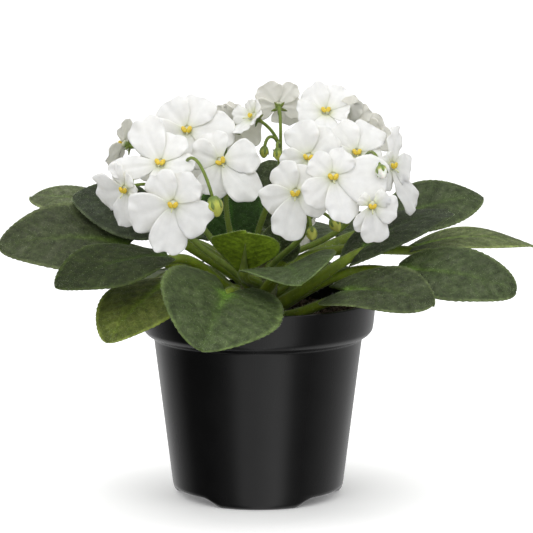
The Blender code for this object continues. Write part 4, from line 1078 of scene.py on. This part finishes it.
def ramp(tree, value, stops):
    """A grey value that follows the stops, each a position and a level, along a value from 0 to 1."""
    made = tree.nodes.new("ShaderNodeValToRGB")
    elements = made.color_ramp.elements
    while len(elements) < len(stops):
        elements.new(0.5)
    for element, (position, level) in zip(elements, stops):
        element.position = position
        element.color = (level, level, level, 1.0)
    tree.links.new(value, made.inputs["Fac"])
    return made.outputs["Color"]


def world_light():
    """A white studio: white to the eye, brighter from above for lighting, banded in reflections."""
    world = bpy.data.worlds.new("studio")
    bpy.context.scene.world = world
    world.use_nodes = True
    world.cycles.sampling_method = "NONE"
    tree = world.node_tree
    tree.nodes.clear()
    ray = node(tree, "LightPath")
    way = node(tree, "SeparateXYZ", {"Vector": node(tree, "TexCoord")["Generated"]})
    turn = node(tree, "Math", {0: way["X"], 1: way["Y"]}, operation="ARCTAN2")["Value"]
    round_it = ranged(tree, turn, 0.0, 1.0, (-math.pi, math.pi))
    upward = ranged(tree, way["Z"], 0.0, 1.0, (-1.0, 1.0))
    glossy = node(tree, "Background", {"Color": ramp(tree, round_it, REFLECTED_BANDS),
                                       "Strength": ramp(tree, upward, REFLECTED_LEVELS)})[0]
    diffuse = node(tree, "Background", {"Color": ramp(tree, upward, SKY_LEVELS)})[0]
    seen = node(tree, "Background", {"Color": WHITE, "Strength": SEEN_LEVEL})[0]
    lit = node(tree, "MixShader", {0: ray["Is Glossy Ray"], 1: diffuse, 2: glossy})[0]
    shown = node(tree, "MixShader", {0: ray["Is Camera Ray"], 1: lit, 2: seen})[0]
    node(tree, "OutputWorld", {"Surface": shown})


def area_light(name, place, aim_height, size, power):
    """A soft square light, turned to a height above the origin, all in metres and watts."""
    lamp = bpy.data.lights.new(name, "AREA")
    lamp.size = size
    lamp.energy = power
    made = added(name, lamp)
    made.location = place
    away = unit(np.array(place) - aim_height * UP)
    made.rotation_euler = (math.acos(away[2]), 0.0, math.atan2(away[1], away[0]) + math.pi / 2)


def make_studio():
    """The floor, the lights and the camera."""
    half = FLOOR_SIZE / 2
    mesh = bpy.data.meshes.new("studio_floor")
    mesh.from_pydata([(-half, -half, 0), (half, -half, 0), (half, half, 0), (-half, half, 0)], [],
                     [(0, 1, 2, 3)])
    floor = added("studio_floor", mesh)
    made, tree, shader = base_material("studio_white", Base_Color=FLOOR_GREY, Roughness=1.0,
                                       Specular_IOR_Level=0.0, Emission_Color=WHITE)
    # Painted light: the floor glows, faintly near the pot and more further out, so a painted shadow lies
    # round its foot.
    away = node(tree, "VectorMath", {0: node(tree, "TexCoord")["Object"]}, operation="LENGTH")["Value"]
    tree.links.new(ranged(tree, away, *FLOOR_GLOW), shader.inputs["Emission Strength"])
    mesh.materials.append(made)
    floor.visible_glossy = False
    floor.visible_diffuse = False
    floor.location = (np.array(GLOW_CENTRE) + POT_AXIS) * MM
    world_light()
    for light in LIGHTS:
        area_light(*light)
    camera = bpy.data.cameras.new("photo_camera")
    camera.sensor_width = CAMERA_SENSOR
    camera.lens = CAMERA_LENS
    camera.clip_end = CAMERA_REACH
    eye = added("photo_camera", camera)
    eye.location = (np.array(CAMERA_PLACE) + POT_AXIS) * MM
    eye.rotation_euler = (math.radians(90 - CAMERA_PITCH), 0.0, 0.0)
    bpy.context.scene.camera = eye
    bpy.context.scene.view_settings.view_transform = "Standard"


def main():
    """Makes every piece, each from random draws of its own."""
    make_studio()
    stem_skin = skin("violet_stem_skin")
    leaf_skins = [leaf_skin(), stem_skin]
    bloom_skins = [skin("violet_petal"), skin("violet_anther")]
    make_pot(skin("black_pot_plastic"))
    make_soil([skin("potting_mix_peat")], np.random.default_rng(SEED))
    make_crown([stem_skin], np.random.default_rng(SEED + 1))
    for index, item in enumerate(LEAVES):
        make_leaf(item, leaf_skins, np.random.default_rng(SEED + 10 + index))
    for index, item in enumerate(BLOOMS):
        make_bloom(item, bloom_skins, np.random.default_rng(SEED + 50 + index))
    blooms = {item["name"]: item for item in BLOOMS}
    for index, item in enumerate(FLOWER_STALKS):
        make_flower_stalk(item, blooms, [stem_skin], np.random.default_rng(SEED + 90 + index))


main()
